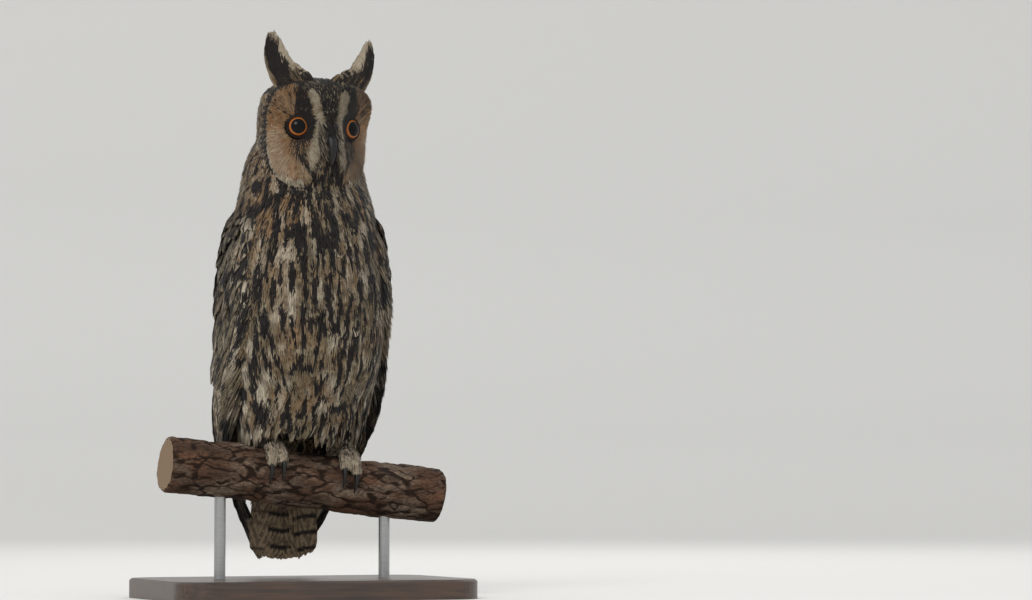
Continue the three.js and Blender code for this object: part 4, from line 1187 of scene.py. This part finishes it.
# %% Eyes
CORNEA_BULGE, CORNEA_EDGE = 0.8, math.radians(44)
EYE_SIDES, EYE_RINGS, BALL_END = 48, 34, math.radians(115)  # the ball stays open behind, inside the head
UPWARD = np.array([0, 0, 1])


def eye_frame(side):
    """An eye's middle, where it looks, and its way aside, in the head's frame."""
    aim = np.array([side * math.sin(EYE_SPLAY), -math.cos(EYE_SPLAY), 0])
    return np.array([side * EYE_APART / 2, -EYE_FORWARD, EYE_UP]), aim, np.cross(UPWARD, aim)


def eyeball(side, name):
    """The ball with its bulging cornea, and a map that gives each place's distance from the aim."""
    middle, aim, aside = eye_frame(side)
    polar = np.linspace(0, BALL_END, EYE_RINGS)
    turn = full_turn(EYE_SIDES)
    bulge = np.clip(np.cos(polar / CORNEA_EDGE * np.pi / 2), 0, 1) * (polar < CORNEA_EDGE)
    radius = EYE_RADIUS + CORNEA_BULGE * bulge
    ring = aside * np.cos(turn)[:, None] + UPWARD * np.sin(turn)[:, None]
    points = middle + radius[:, None, None] * (
        aim * np.cos(polar)[:, None, None] + ring[None] * np.maximum(np.sin(polar), 1e-3)[:, None, None])
    piece = make_object("eyeball_" + name, from_head(points), ring_faces(points), iris)
    spread = (EYE_RADIUS * np.sin(np.minimum(polar, np.pi / 2)))[:, None, None] / EYE_MAP
    put_map(piece.data, "eye", 0.5 + spread * np.stack([np.cos(turn), np.sin(turn)], -1)[None])
    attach(piece, "root")
    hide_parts("eye_" + name)


eyeball(1, "left")
eyeball(-1, "right")
print("eye spacing, in mm:", EYE_APART)

# %% Lids
LID_THICK, LID_FOLD = 0.5, 0.4  # half the thickness of the skin, and how much more it is above
bare_skin, tree = new_material("bare_lid_skin")
# bare skin on the lid's edge: black, slightly moist, so it keeps a thin line of light
wrinkles = add(tree, "TexNoise", Vector=add(tree, "TexCoord", "Object"), Scale=1800.0, Detail=2.0)
add(tree, "OutputMaterial", Surface=add(
    tree, "BsdfPrincipled", Roughness=0.55, IOR=1.4, Specular_IOR_Level=0.25,
    Base_Color=add(tree, "Mix", 2, data_type="RGBA", _0=wrinkles, _6="#0d0a09", _7="#241c18"),
    Normal=add(tree, "Bump", Height=wrinkles, Strength=0.4, Distance=0.0002)))


def lids(side, name):
    """A ring of skin round the eye's opening, thicker above, where the upper lid folds."""
    middle, aim, aside = eye_frame(side)
    turn, lap = full_turn(EYE_SIDES), full_turn(10)
    outward = aside * np.cos(turn)[:, None] + UPWARD * np.sin(turn)[:, None]
    above = np.clip(np.sin(turn), 0, 1)
    thick = LID_THICK + LID_FOLD * above
    set_back = math.sqrt(EYE_RADIUS**2 - LID_OPENING**2)
    rim = middle + aim * (set_back + 0.5 * above[:, None])
    rim = rim + outward * (LID_OPENING + 0.5 - 0.5 * above)[:, None]
    points = rim[:, None] + outward[:, None] * (thick[:, None] * np.cos(lap))[..., None] + aim * (
        thick[:, None] * np.sin(lap))[..., None]
    grid = np.arange(points.shape[0] * points.shape[1]).reshape(points.shape[:2])
    quads = quads_over(np.pad(grid, ((0, 1), (0, 1)), mode="wrap"))
    piece = make_object("lids_" + name, from_head(points), quads, bare_skin)
    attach(piece, "root")


lids(1, "left")
lids(-1, "right")
print("lid opening, in mm:", LID_OPENING * 2)

# %% [markdown]
# ## The bill and the claws
# Both are horn, grown over bone: black, dense and smooth, with a soft gloss and fine growth lines
# along them. The bill hooks down and is half hidden by bristles. Each is a tube along a curve whose
# width and height shrink to a point, with the nostrils pressed into its sides.

# %% Horn
horn, tree = new_material("black_horn")
# keratin horn polished by use: near black, with a satin gloss and slightly paler growth layers
layers = add(tree, "TexNoise", Vector=add(tree, "TexCoord", "Object"), Scale=420.0, Detail=5.0)
add(tree, "OutputMaterial", Surface=add(
    tree, "BsdfPrincipled", IOR=1.55, Specular_IOR_Level=0.3,
    Base_Color=add(tree, "Mix", 2, data_type="RGBA", _0=layers, _6="#080706", _7="#191614"),
    Roughness=add(tree, "MapRange", Value=layers, To_Min=0.34, To_Max=0.5),
    Normal=add(tree, "Bump", Height=layers, Strength=0.2, Distance=0.0002)))


def horn_piece(name, rings, node):
    """A piece of horn from rings in the owl's frame, in place of a node of the solids."""
    piece = make_object(name, rings, ring_faces(rings), horn)
    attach(piece, "root")
    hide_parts(node)


def smooth_path(points, count):
    """A smooth curve through a few points."""
    points = np.array(points, float)
    knots = np.linspace(0, 1, len(points))
    return np.stack([through(knots, column)(np.linspace(0, 1, count)) for column in points.T], -1)


def pointed(share, half_width, half_height, blunt, tip):
    """Half-widths and half-heights that shrink to a point: blunt is one power for each of the two."""
    return np.stack([
        half_width * (1 - share) ** blunt[0] + tip,
        half_height * (1 - share) ** blunt[1] + tip,
    ], -1)


print("horn:", horn.name)

# %% Bill
UPPER_RINGS, LOWER_RINGS = 22, 12
upper = tube(
    smooth_path([(0, -22, -1), (0, -30, -4), (0, -35.5, -11), (0, -36.5, -19), (0, -34, -27)], UPPER_RINGS),
    pointed(np.linspace(0, 1, UPPER_RINGS), 5.0, 5.4, (0.55, 0.7), 0.12), 24,
)
NOSTRIL, NOSTRIL_DEPTH = np.array([4.1, -31.5, -7.5]), 1.5
for side in (1, -1):
    reach = np.linalg.norm(upper - NOSTRIL * (side, 1, 1), axis=-1)
    upper[..., 0] -= side * NOSTRIL_DEPTH * smooth_between(1.5 - reach, 0, 1.2)
lower = tube(
    smooth_path([(0, -22, -15), (0, -29, -18), (0, -33, -23)], LOWER_RINGS),
    pointed(np.linspace(0, 1, LOWER_RINGS), 3.9, 2.4, (0.5, 0.5), 0.15), 16,
)
horn_piece("bill_top", from_head(upper), "bill_upper")
horn_piece("bill_below", from_head(lower), "bill_lower")


def bristles(count):
    """Stiff hairs that grow beside the bill's root, and lie forward and down over its sides."""
    side = np.where(rng.uniform(0, 1, count) < 0.5, -1, 1)
    start = xyz(side * rng.uniform(1, 8.5, count), -29.5, rng.uniform(-13, 7, count))
    along = np.linspace(0, 1, 5)[None, :, None]
    swing = xyz(
        side * rng.uniform(-3, 1.2, count), rng.uniform(-8, -3, count), rng.uniform(-11, -4, count))
    middle = start[:, None] + swing[:, None] * along + np.array([0, -1.5, -2.0]) * along**2
    out = np.broadcast_to([0.0, -1.0, 0.4], middle.shape)
    half = 0.35 * np.interp(np.linspace(0, 1, 5), [0, 0.5, 1], [1, 0.8, 0.2])
    batch = sheets(middle, out, half, face_map(start), 2, 0, 0.05)
    grey = rng.uniform(0, 1, (count, 1, 1)) + 0.7 * (np.abs(start[:, 0]) < 5)[:, None, None]
    return moved_from_head(give_marks(batch, grey, 0.1, 0.5 * (1 - grey), 0.0))


feather_piece("bill_bristles", [bristles(900)])

# %% Claws
share = np.linspace(0, 1, 14)
lift = 4.4 - 2.6 * share**2  # the claw leaves the toe's end and comes down to the bark
for side, word in ((1, "left"), (-1, "right")):
    for toe, (_, last, tip_aside, _) in TOES.items():
        way = math.copysign(1, last)
        turn = np.radians(last - way * 6 + way * 40 * share)
        path = round_perch(side * (FEET_APART / 2 + tip_aside), turn, PERCH_RADIUS + lift)
        claw = tube(path, pointed(share, 2.1, 2.4, (0.7, 0.7), 0.1), 14)
        horn_piece(f"talon_{word}_{toe}", from_perch(claw), f"claw_{word}_{toe}")
print("claws:", 2 * len(TOES))

# %% [markdown]
# ## The folded wings
# A folded wing shows its feathers in tiers. The long primaries fold under the secondaries, the
# tertials cover both, and rows of coverts, smaller towards the shoulder, hide all their roots. The
# scapulars, rooted on the back, close the gap to the body. Each tier is a row of vanes whose roots
# lie deep and whose tips come to the surface, each tilted a little over the next, as slates are.

# %% Wing tiers
WING_OUT = {1: 2.2, -1: 0.0}  # how far each wing stands off the body
ROOT_DEPTH = 4.4  # how deep the vanes are rooted


def tier(side, count, roots, tips, width, rows=9, sink=0.0, tilt=0.12, lift=-0.6, jitter=1.0):
    """One row of wing feathers. Roots and tips each run from a front to a back place (share, height)."""
    place = np.linspace(0, 1, count)
    ends = []
    for near, far in (roots, tips):
        share = near[0] + (far[0] - near[0]) * place + 0.008 * jitter * either_way(count)
        height = near[1] + (far[1] - near[1]) * place + 2 * jitter * either_way(count)
        ends.append((share[:, None], height[:, None]))
    along = np.linspace(0, 1, rows)
    share = ends[0][0] + (ends[1][0] - ends[0][0]) * along
    height = ends[0][1] + (ends[1][1] - ends[0][1]) * along
    deep = sink * (count - 1 - np.arange(count))[:, None]
    swell = np.interp(along, [0, 0.75, 1], [0, 1, 0.86])
    rise = (WING_OUT[side] + lift - deep + ROOT_DEPTH) * swell - ROOT_DEPTH
    rise = rise + 0.35 * either_way(count, 1) * along
    middle = wing_at(side, share, height, rise)
    # the way out of the wing, tilted so that each vane's rear edge lifts over the next
    across = wing_at(side, share + 0.01, height, rise) - middle
    down = wing_at(side, share, height - 0.5, rise) - middle
    outward = wing_at(side, share, height, rise + 1) - middle
    normal = unit(np.cross(across, down))
    normal *= np.sign((normal * outward).sum(-1, keepdims=True))
    normal = unit(normal + tilt * unit(across))
    profile = np.interp(along, [0, 0.2, 0.5, 0.8, 0.93, 1], [0.6, 0.9, 1, 0.92, 0.6, 0.22])
    half = 0.5 * width * rng.uniform(0.94, 1.06, (count, 1)) * profile
    spot = np.stack([share[:, 0], height[:, 0] / 200], -1)
    return sheets(middle, normal, half, spot, 7, 0.22, 0.03, thick=0.45)


print("left wing stands out by, in mm:", WING_OUT[1])

# %% Wing marks
# how strong the shaft streak and the bars are on each kind of feather
FLIGHT, COVERT, SMALL = (0.2, 0.75), (0.8, 0.6), (0.85, 0.5)


def wing_marks(batch, streak, barred):
    """Blotches by place, a dark shaft streak, and a pale spot near the tip of some outer webs."""
    points = batch["points"]
    count, rows, columns = points.shape[:3]
    flat = points.reshape(-1, 3)
    blotch = cloud(flat * (1, 1, 0.6), 9, 20) + 0.5 * cloud(flat, 3.5, 21)
    blotch = blotch.reshape(count, rows, columns)
    across = np.abs(np.linspace(-1, 1, columns))[None, None]
    along = np.linspace(0, 1, rows)[None, :, None]
    shaft = streak * np.clip(1 - across / 0.55, 0, 1) * (1.15 - 0.3 * along)
    # about half of the feathers get the pale spot
    web = np.where(rng.uniform(0, 1, (count, 1, 1)) < 0.55, np.linspace(-1, 1, columns)[None, None], -1)
    spot = smooth_between(web, 0.1, 0.6) * smooth_between(0.16 - np.abs(along - 0.84), 0, 0.1)
    tone = 0.1 * rng.normal(0, 1, (count, 1, 1))
    dark = np.maximum(shaft, 0.9 * smooth_between(blotch, -0.05, 0.4)) * (1 - 0.85 * spot)
    pale = 0.12 + 0.6 * spot + 0.35 * smooth_between(-blotch, 0.15, 0.6) + tone
    rust = 0.2 + 0.3 * cloud(flat, 22, 22).reshape(count, rows, columns) + tone
    return give_marks(batch, dark, rust, pale, barred)


def wing_rows(side):
    """All tiers of a wing, from the primaries up."""
    # primaries, secondaries, tertials, and two rows of greater coverts
    rows = [
        wing_marks(tier(
            side, 9, ([0.3, 24], [0.85, 20]), ([0.22, -77], [0.92, -44]), 11, 11, 0.75, 0, -0.4,
        ), *FLIGHT),
        wing_marks(tier(side, 10, ([0.1, 60], [0.82, 62]), ([0.08, -14], [0.92, 12]), 13, 11, 0.22), *FLIGHT),
        wing_marks(tier(side, 4, ([0.7, 98], [0.9, 104]), ([0.74, 22], [0.96, 46]), 15, 11, 0.3), *COVERT),
        wing_marks(tier(side, 11, ([0.06, 88], [0.78, 98]), ([0.04, 44], [0.76, 56]), 11), *COVERT),
        wing_marks(tier(side, 10, ([0.05, 104], [0.76, 112]), ([0.03, 68], [0.74, 78]), 11), *COVERT),
    ]
    # lesser coverts, shorter and narrower towards the shoulder, staggered like tiles
    for row, height in enumerate(np.linspace(120, 172, 7)):
        shift, reach, last = 0.035 * (row % 2), 24 - 1.4 * row, 0.8 - 0.03 * row
        rows.append(wing_marks(tier(
            side, 10, ([0.02 + shift, height], [last + shift, height + 4]),
            ([shift, height - reach], [last + shift, height + 4 - reach]), 10.5 - 0.3 * row, 7,
            lift=-0.3, jitter=2.0,
        ), *SMALL))
    # scapulars
    for height in (104, 122, 140, 158):
        rows.append(wing_marks(tier(
            side, 4, ([0.74, height], [0.97, height - 6]), ([0.78, height - 38], [1.02, height - 42]), 14,
            lift=0.3, jitter=1.6,
        ), *COVERT))
    # the mantle's feathers close the back between the wings, down to the tail's root
    for height in np.linspace(158, 52, 8):
        rows.append(wing_marks(tier(
            side, 4, ([0.88, height], [1.13, height + 2]), ([0.9, height - 34], [1.14, height - 32]), 14,
            lift=0.9, jitter=1.6,
        ), *COVERT))
    return rows


for side, word in ((1, "left"), (-1, "right")):
    rows = wing_rows(side)
    feather_piece("wing_" + word + "_feathers", rows, ("wing_" + word,), 0.5)
    feather_piece("wing_" + word + "_barbs", [fringe(row, 55, 7, 0.9) for row in rows])

# %% [markdown]
# ## Flanks, thighs and vent
# The loose feathers of the breast's sides lie over the folded wing's front edge, and long soft ones
# hang over the thighs and under the tail. They close the gaps between body, wing, leg and tail, so
# that the bird reads as one smooth form. They are laid between two surfaces: rooted on the body and
# reaching out to the wing.

# %% Flank feathers
def hanging(name, roots, tips, width, spread):
    """Long feathers whose middle lines run in a shallow arc from roots to tips."""
    count, along = len(roots), np.linspace(0, 1, 7)[None, :, None]
    middle = roots[:, None] + (tips - roots)[:, None] * along
    outward = unit((middle - (0, 8, 0)) * (1, 1, 0))
    middle = middle + outward * (spread * np.sin(np.pi * along))
    out = outward + (0, 0, 0.2)
    half = 0.5 * width * rng.uniform(0.8, 1.15, (count, 1)) * np.array([0.5, 0.8, 1, 1, 0.9, 0.65, 0.2])
    batch = marked(sheets(middle, out, half, round_map(roots), 5, 0.25, 0.08), body_marks, 0.5, 0.07)
    feather_piece(name, [batch, fringe(batch, 22, 8, 0.95)])


def flank_lines(side, count):
    """Roots just ahead of the wing's front edge, and tips that lie on the edge."""
    height = rng.uniform(26, 174, count)
    low = smooth_between(-height, -80, -30)
    root = wing_at(side, -0.02 - rng.uniform(0, 1, count) * (0.11 + 0.13 * low), height, -5.0)
    fall = rng.uniform(26, 36, count)
    past = rng.uniform(-0.1, 0.01, count) - 0.06 * low * rng.uniform(0, 1, count)
    tip = wing_at(side, past, height - fall, WING_OUT[side] + rng.uniform(-0.4, 0.8, count))
    return root, tip


for side, word in ((1, "left"), (-1, "right")):
    hanging("flank_" + word + "_feathers", *flank_lines(side, 320), 7.5, 1.2)

# %% Thighs and vent
THIGH = [
    (-16, 40, 9, 30, 6), (0, 44, 17, 36, 5), (20, 47, 30, 42, 3), (45, 50, 45, 46, 0), (70, 54.5, 53, 47, 0),
]
thigh_at = upright(THIGH)


def thigh_lines(count):
    """Roots low on the body all round, and tips that hang towards the perch."""
    bearing = rng.uniform(-180, 180, count)
    height = rng.uniform(26, 66, count)
    fall = rng.uniform(20, 30, count) * (1 - 0.15 * smooth_between(-np.abs(bearing), -60, 0))
    root = thigh_at(bearing, height, -3.0)
    tip = thigh_at(bearing, height - fall, rng.uniform(-3, 0.5, count))
    return root, tip


def vent_lines(count):
    """The under-tail coverts, which fill the space between the legs and the tail."""
    root = xyz(rng.uniform(-17, 17, count), rng.uniform(24, 34, count), rng.uniform(16, 34, count))
    tip = xyz(root[:, 0] * 0.8, rng.uniform(32, 43, count), root[:, 2] - rng.uniform(34, 52, count))
    return root, tip


hanging("thigh_feathers", *thigh_lines(520), 8.0, 1.0)
hanging("vent_feathers", *vent_lines(90), 9.0, 0.5)

# %% [markdown]
# ## The tail
# Twelve stiff feathers fold over one another, the middle pair on top, so that a closed tail is no
# wider than a few of them. They are buff-grey with narrow dark bars. Short coverts hide their roots.

# %% Tail
TAIL_ROOT, TAIL_TIP, TAIL_BACK = 30.0, -77.0, 50.0
BAR_SPACING = 12.0  # mm from bar to bar


def tail_fan(count, tip, spread, narrow, width, top, layer, rows=14):
    """One layer of the tail's feathers, side by side."""
    place = np.linspace(-1, 1, count)[:, None]
    outward = np.abs(np.arange(count) - (count - 1) / 2)[:, None]
    along = np.linspace(0, 1, rows)
    middle = xyz(
        place * (narrow + (spread - narrow) * along),
        TAIL_BACK - top - layer * outward - 1.5 * along,
        TAIL_ROOT + (tip + 4 * place**2 - TAIL_ROOT) * along,
    )
    out = np.broadcast_to([0.0, 1.0, 0.0], middle.shape)
    profile = np.interp(along, [0, 0.2, 0.85, 0.92, 0.97, 1], [0.6, 0.9, 1, 0.92, 0.7, 0.3])
    spot = np.stack([place[:, 0], rng.uniform(0, 1, count)], -1)
    batch = sheets(middle, out, 0.5 * width * profile, spot, 7, 0.12, 0.03, thick=0.5)
    bars = np.sin(middle[:, :, None, 2] * 2 * np.pi / BAR_SPACING + 0.6 * place[:, :, None])
    return give_marks(batch, 0.15 + 0.6 * smooth_between(bars, 0.5, 0.9), 0.3, 0.2, 0.5)


fans = [tail_fan(12, TAIL_TIP, 20, 13, 14, 1.6, 0.75, 28), tail_fan(7, -24, 13, 8, 10, 0.2, 0.4, 8)]
feather_piece("tail_feathers", fans + [fringe(fan, 60, 3.5, 0.8) for fan in fans], ("tail",), 0.95)

# %% [markdown]
# ## Feathered legs and toes
# Owls' legs are feathered down to the claws with short, pale, hair-like down, so no scales show. It
# is laid on the coat's form as the rest is, in smaller slivers that run down the leg and out along
# each toe.

# %% Legs and toes
def on_legs(points):
    """Whether a place is on the legs or toes, and not on the tail's root."""
    return (points[:, 2] < 12) & (points[:, 1] < 27)


def along_toes(points):
    """Down the leg, and round the perch along each toe."""
    _, y, z = points.T
    ahead = np.sign(-y + 1e-6)
    turn = np.arctan2(np.abs(y), z + PERCH_RADIUS)
    toe = xyz(0, -ahead * np.cos(turn), -np.sin(turn))
    leg = np.array([0, 0, -1])
    share = smooth_between(-z, -9, -1)[:, None]
    return unit(leg * (1 - share) + toe * share + 0.12 * either_way(*toe.shape))


def leg_marks(points):
    """Pale buff, faintly mottled."""
    speck = cloud(points, 5, 30)
    return stack_marks(0.15 + 0.4 * speck, 0.26 + 0.2 * speck, 0.5 + 0.25 * cloud(points, 3, 31), 0.1)


barbs("leg_down", on_legs, 0.95, 4.6, 0.9, leg_marks, along_toes, 15, 0.4, 40000)

# %% [markdown]
# ## The perch
# The photo's bird stands on a pine branch. This one has a short cut length of it: reddish-grey bark
# that flakes in plates along the branch, and two sawn ends with growth rings. The plates could be
# bumps in the shading only, but they show in the outline, so the tube's radius is worked out from
# cracks between scattered seeds, longer along the branch than round it.

# %% Bark
PERCH_LENGTH, PLATE_LONG, PLATE_WIDE, CRACK = 206.0, 26.0, 8.0, 2.0
ROWS, AROUND = 260, 150  # points along the branch and round it
bark, tree = new_material("pine_bark")
# dry bark: rough, without any gloss, grey on the weathered plates and red-brown in the cracks
place = add(tree, "TexCoord", "Object")
stretched = add(tree, "Mapping", Vector=place, Scale=(0.4, 1, 1))
plate = add(tree, "Attribute", "Color", attribute_name="plates")
flakes = add(tree, "TexNoise", Vector=stretched, Scale=330.0, Detail=4.0)
grit = add(tree, "TexNoise", Vector=stretched, Scale=900.0, Detail=5.0)
patches = add(tree, "TexNoise", Vector=stretched, Scale=70.0, Detail=3.0)
weathered = add(tree, "MapRange", Value=patches, From_Min=0.42, From_Max=0.6)
tone = add(tree, "Mix", 2, data_type="RGBA", _0=weathered, _6="#6b4c39", _7="#8b7a69")
depth, shade = add(tree, "SeparateColor", Color=plate).node.outputs[:2]
tone = add(tree, "Mix", 2, data_type="RGBA", _0=shade, _6=tone, _7="#4a372b")
dusty = add(tree, "MapRange", Value=grit, From_Min=0.35, From_Max=0.7, To_Min=0.0, To_Max=0.75)
tone = add(tree, "Mix", 2, data_type="RGBA", _0=dusty, _6=tone, _7="#33261e")
ragged = add(tree, "Math", operation="MULTIPLY_ADD", _0=flakes, _1=0.8, _2=depth)
crack = add(tree, "MapRange", interpolation_type="SMOOTHSTEP", Value=ragged, From_Min=0.36, From_Max=0.62)
tone = add(tree, "Mix", 2, data_type="RGBA", _0=crack, _6="#24170f", _7=tone)
layer_edge = add(tree, "MapRange", Value=flakes, From_Min=0.48, From_Max=0.54)
height = add(tree, "Math", operation="MULTIPLY_ADD", _0=grit, _1=0.5, _2=layer_edge)
add(tree, "OutputMaterial", Surface=add(
    tree, "BsdfPrincipled", Base_Color=tone, Roughness=0.95, Specular_IOR_Level=0.2,
    Normal=add(tree, "Bump", Height=height, Strength=0.9, Distance=0.0012)))

x = np.linspace(-PERCH_LENGTH / 2, PERCH_LENGTH / 2, ROWS)[:, None]
turn = full_turn(AROUND)[None, :]
# the wood under the bark is neither quite round nor quite straight
radius = PERCH_RADIUS - 0.9 + 0.7 * np.sin(3 * turn + x / 23) * np.cos(x / 17) + 0.5 * np.sin(turn - x / 31)
flat = xyz(x, radius * np.sin(turn), radius * np.cos(turn)).reshape(-1, 3)
bent = flat + 2.0 * np.stack([cloud(flat, 9, seed) for seed in (40, 41, 42)], -1)
# a plate's edge is where the nearest seed and the next are equally far
seeds = bent / (PLATE_LONG, PLATE_WIDE, PLATE_WIDE)
near = np.array([noise.voronoi(Vector(seed))[0][:2] for seed in seeds])
edge = ((near[:, 1] - near[:, 0]) * PLATE_WIDE / 2).reshape(ROWS, AROUND)
edge = edge * (1.1 + 0.7 * cloud(flat, 11, 44).reshape(ROWS, AROUND))
open_crack = smooth_between(edge, 0.1, CRACK)
relief = 0.9 * open_crack + 0.3 * cloud(flat * (0.4, 1, 1), 3, 43).reshape(ROWS, AROUND)
rounded = -1.2 * smooth_between(np.abs(x), PERCH_LENGTH / 2 - 1.5, PERCH_LENGTH / 2)
radius = radius + relief + rounded
tube_points = xyz(x, radius * np.sin(turn), radius * np.cos(turn))
branch = make_object("branch_bark", from_perch(tube_points), ring_faces(tube_points), bark)
tint = 0.5 + 0.5 * cloud(flat * (0.3, 1, 1), 7, 45)
plates = np.stack(np.broadcast_arrays(open_crack.ravel(), tint, 0.0, 1.0), -1)
put_colours(branch.data, "plates", plates)
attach(branch, "root")
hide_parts("perch_branch")
print("branch radius from", round(float(radius.min()), 1), "to", round(float(radius.max()), 1), "mm")

# %% Sawn ends
END_MAP, RING_GAP = 40.0, 2.1  # mm across the map of a sawn end, and from one growth ring to the next
END_RINGS = 14  # rings of points over an end
sawn, tree = new_material("sawn_pine")
# softwood sawn a while ago: greyed and matt, with faint darker summer rings about 2 mm apart
rings_map = add(tree, "UVMap", uv_map="rings")
centred = add(tree, "VectorMath", operation="SUBTRACT", _0=rings_map, _1=(0.5, 0.5, 0))
wobble = add(tree, "TexNoise", Vector=rings_map, Scale=5.0, Detail=2.0)
from_pith = add(tree, "VectorMath", "Value", operation="LENGTH", _0=centred)
from_pith = add(tree, "Math", operation="MULTIPLY", _0=from_pith, _1=2 * math.pi * END_MAP / RING_GAP)
phase = add(tree, "Math", operation="MULTIPLY_ADD", _0=wobble, _1=7.0, _2=from_pith)
waves = add(tree, "Math", operation="SINE", _0=phase)
summer = add(tree, "MapRange", Value=waves, From_Min=0.2, From_Max=1.0)
pores = add(tree, "TexNoise", Vector=rings_map, Scale=90.0, Detail=2.0)
wood = add(tree, "Mix", 2, data_type="RGBA", _0=summer, _6="#836f57", _7="#6f5b43")
faint = add(tree, "Math", operation="MULTIPLY", _0=pores, _1=0.35)
wood = add(tree, "Mix", 2, data_type="RGBA", _0=faint, _6=wood, _7="#6d4a2b")
add(tree, "OutputMaterial", Surface=add(
    tree, "BsdfPrincipled", Base_Color=wood, Roughness=0.8,
    Normal=add(tree, "Bump", Height=pores, Strength=0.2, Distance=0.0003)))
for end, word in ((1, "left"), (-1, "right")):
    shares = np.linspace(0, 0.985, END_RINGS)[:, None, None]
    rim = tube_points[-1 if end > 0 else 0]
    disc = rim * (1, 0, 0) + rim * (0, 1, 1) * np.maximum(shares, 1e-3) + (end * 0.15, 0, 0)
    grid = np.arange(END_RINGS * AROUND).reshape(END_RINGS, AROUND)
    quads = quads_over(np.pad(grid, ((0, 0), (0, 1)), mode="wrap"))
    quads = quads if end < 0 else quads[:, ::-1]
    cut = make_object("sawn_end_" + word, from_perch(disc), quads, sawn)
    put_map(cut.data, "rings", 0.5 + disc[..., 1:] / END_MAP)
    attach(cut, "root")
print("branch length, in mm:", PERCH_LENGTH)

# %% [markdown]
# ## The stand
# The base is a rounded board of dark stained hardwood with a satin varnish, and two brushed steel
# rods carry the branch. Their solids already have the right shape, so they keep it and only get
# their surfaces. The grain runs along the board, drawn as stretched noise, 2 to 3 mm from line to
# line.

# %% Stand
walnut, tree = new_material("stained_walnut")
# stained and varnished hardwood: dark brown, its pores filled, with a clear satin coat
stretched = add(tree, "Mapping", Vector=add(tree, "TexCoord", "Object"), Scale=(0.06, 1, 1))
grain = add(tree, "TexNoise", Vector=stretched, Scale=380.0, Detail=6.0, Distortion=0.6)
bands = add(tree, "TexNoise", Vector=stretched, Scale=70.0, Detail=2.0)
streaks = add(tree, "MapRange", Value=grain, From_Min=0.3, From_Max=0.7)
tone = add(tree, "Mix", 2, data_type="RGBA", _0=streaks, _6="#2b1c13", _7="#533824")
half_bands = add(tree, "Math", operation="MULTIPLY", _0=bands, _1=0.5)
tone = add(tree, "Mix", 2, data_type="RGBA", _0=half_bands, _6=tone, _7="#1c120c")
add(tree, "OutputMaterial", Surface=add(
    tree, "BsdfPrincipled", Base_Color=tone, Roughness=0.45, Coat_Weight=0.5, Coat_Roughness=0.25,
    Normal=add(tree, "Bump", Height=grain, Strength=0.12, Distance=0.0004)))

steel, tree = new_material("brushed_steel")
# steel brushed round the rod: bright, with fine rings that blur its highlight
stretched = add(tree, "Mapping", Vector=add(tree, "TexCoord", "Object"), Scale=(0.05, 0.05, 1))
brush = add(tree, "TexNoise", Vector=stretched, Scale=2600.0, Detail=2.0)
add(tree, "OutputMaterial", Surface=add(
    tree, "BsdfPrincipled", Metallic=1.0, Roughness=0.32,
    Base_Color=add(tree, "Mix", 2, data_type="RGBA", _0=brush, _6="#8f9090", _7="#b4b4b2"),
    Normal=add(tree, "Bump", Height=brush, Strength=0.15, Distance=0.0001)))
for name, finish in (("stand_base", walnut), ("stand_rod_left", steel), ("stand_rod_right", steel)):
    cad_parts[name].data.materials.clear()
    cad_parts[name].data.materials.append(finish)
print("stand:", walnut.name, steel.name)

# %% [markdown]
# ## Floor and light
# A plain pale floor that curves up into a plain background, as in a photographer's bay. Light comes
# evenly from the whole sky, with a large soft lamp at the upper left to give the forms a lit side,
# and a weak one behind that parts the dark bird from the ground.

# %% Floor and lights
floor_matt, tree = new_material("floor_paint")
# emulsion paint: pale and matt, so that it takes soft shadows and no reflections
add(tree, "OutputMaterial", Surface=add(tree, "BsdfPrincipled", Base_Color="#e6e4e0", Roughness=0.9))
# how far back and how high the floor is, in mm, along the curve that it makes with the background
path = [(-4000, 0), (2600, 0), (3300, 160), (3800, 600), (4000, 1300), (4050, 5200)]
HALF_WIDTH = 6000
floor_points = [(x, y, z - PERCH_TOP) for y, z in path for x in (-HALF_WIDTH, HALF_WIDTH)]
floor_faces = [(2 * i, 2 * i + 1, 2 * i + 3, 2 * i + 2) for i in range(len(path) - 1)]
floor = make_object("floor", floor_points, floor_faces, floor_matt)


def area_light(name, place, aim, size, power):
    """A round lamp that points at a place: metres for places and size, watts for power."""
    light = bpy.data.lights.new(name, "AREA")
    light.shape, light.size, light.energy = "DISK", size, power
    lamp = bpy.data.objects.new(name, light)
    lamp.location = place
    lamp.rotation_euler = (Vector(aim) - Vector(place)).to_track_quat("-Z", "Y").to_euler()
    bpy.context.scene.collection.objects.link(lamp)


area_light("key", (-1.3, -1.5, 1.6), (0, 0, 0.25), 1.1, 24)
area_light("behind", (0.9, 1.3, 1.5), (0, 0, 0.3), 0.9, 8)
world = bpy.data.worlds.new("studio")
world.use_nodes = True
world.node_tree.nodes["Background"].inputs[0].default_value = linear("#eef0f2")
world.node_tree.nodes["Background"].inputs[1].default_value = 0.9
bpy.context.scene.world = world
bpy.context.scene.view_settings.view_transform = "Standard"
print("lamps:", [item.name for item in bpy.data.lights])
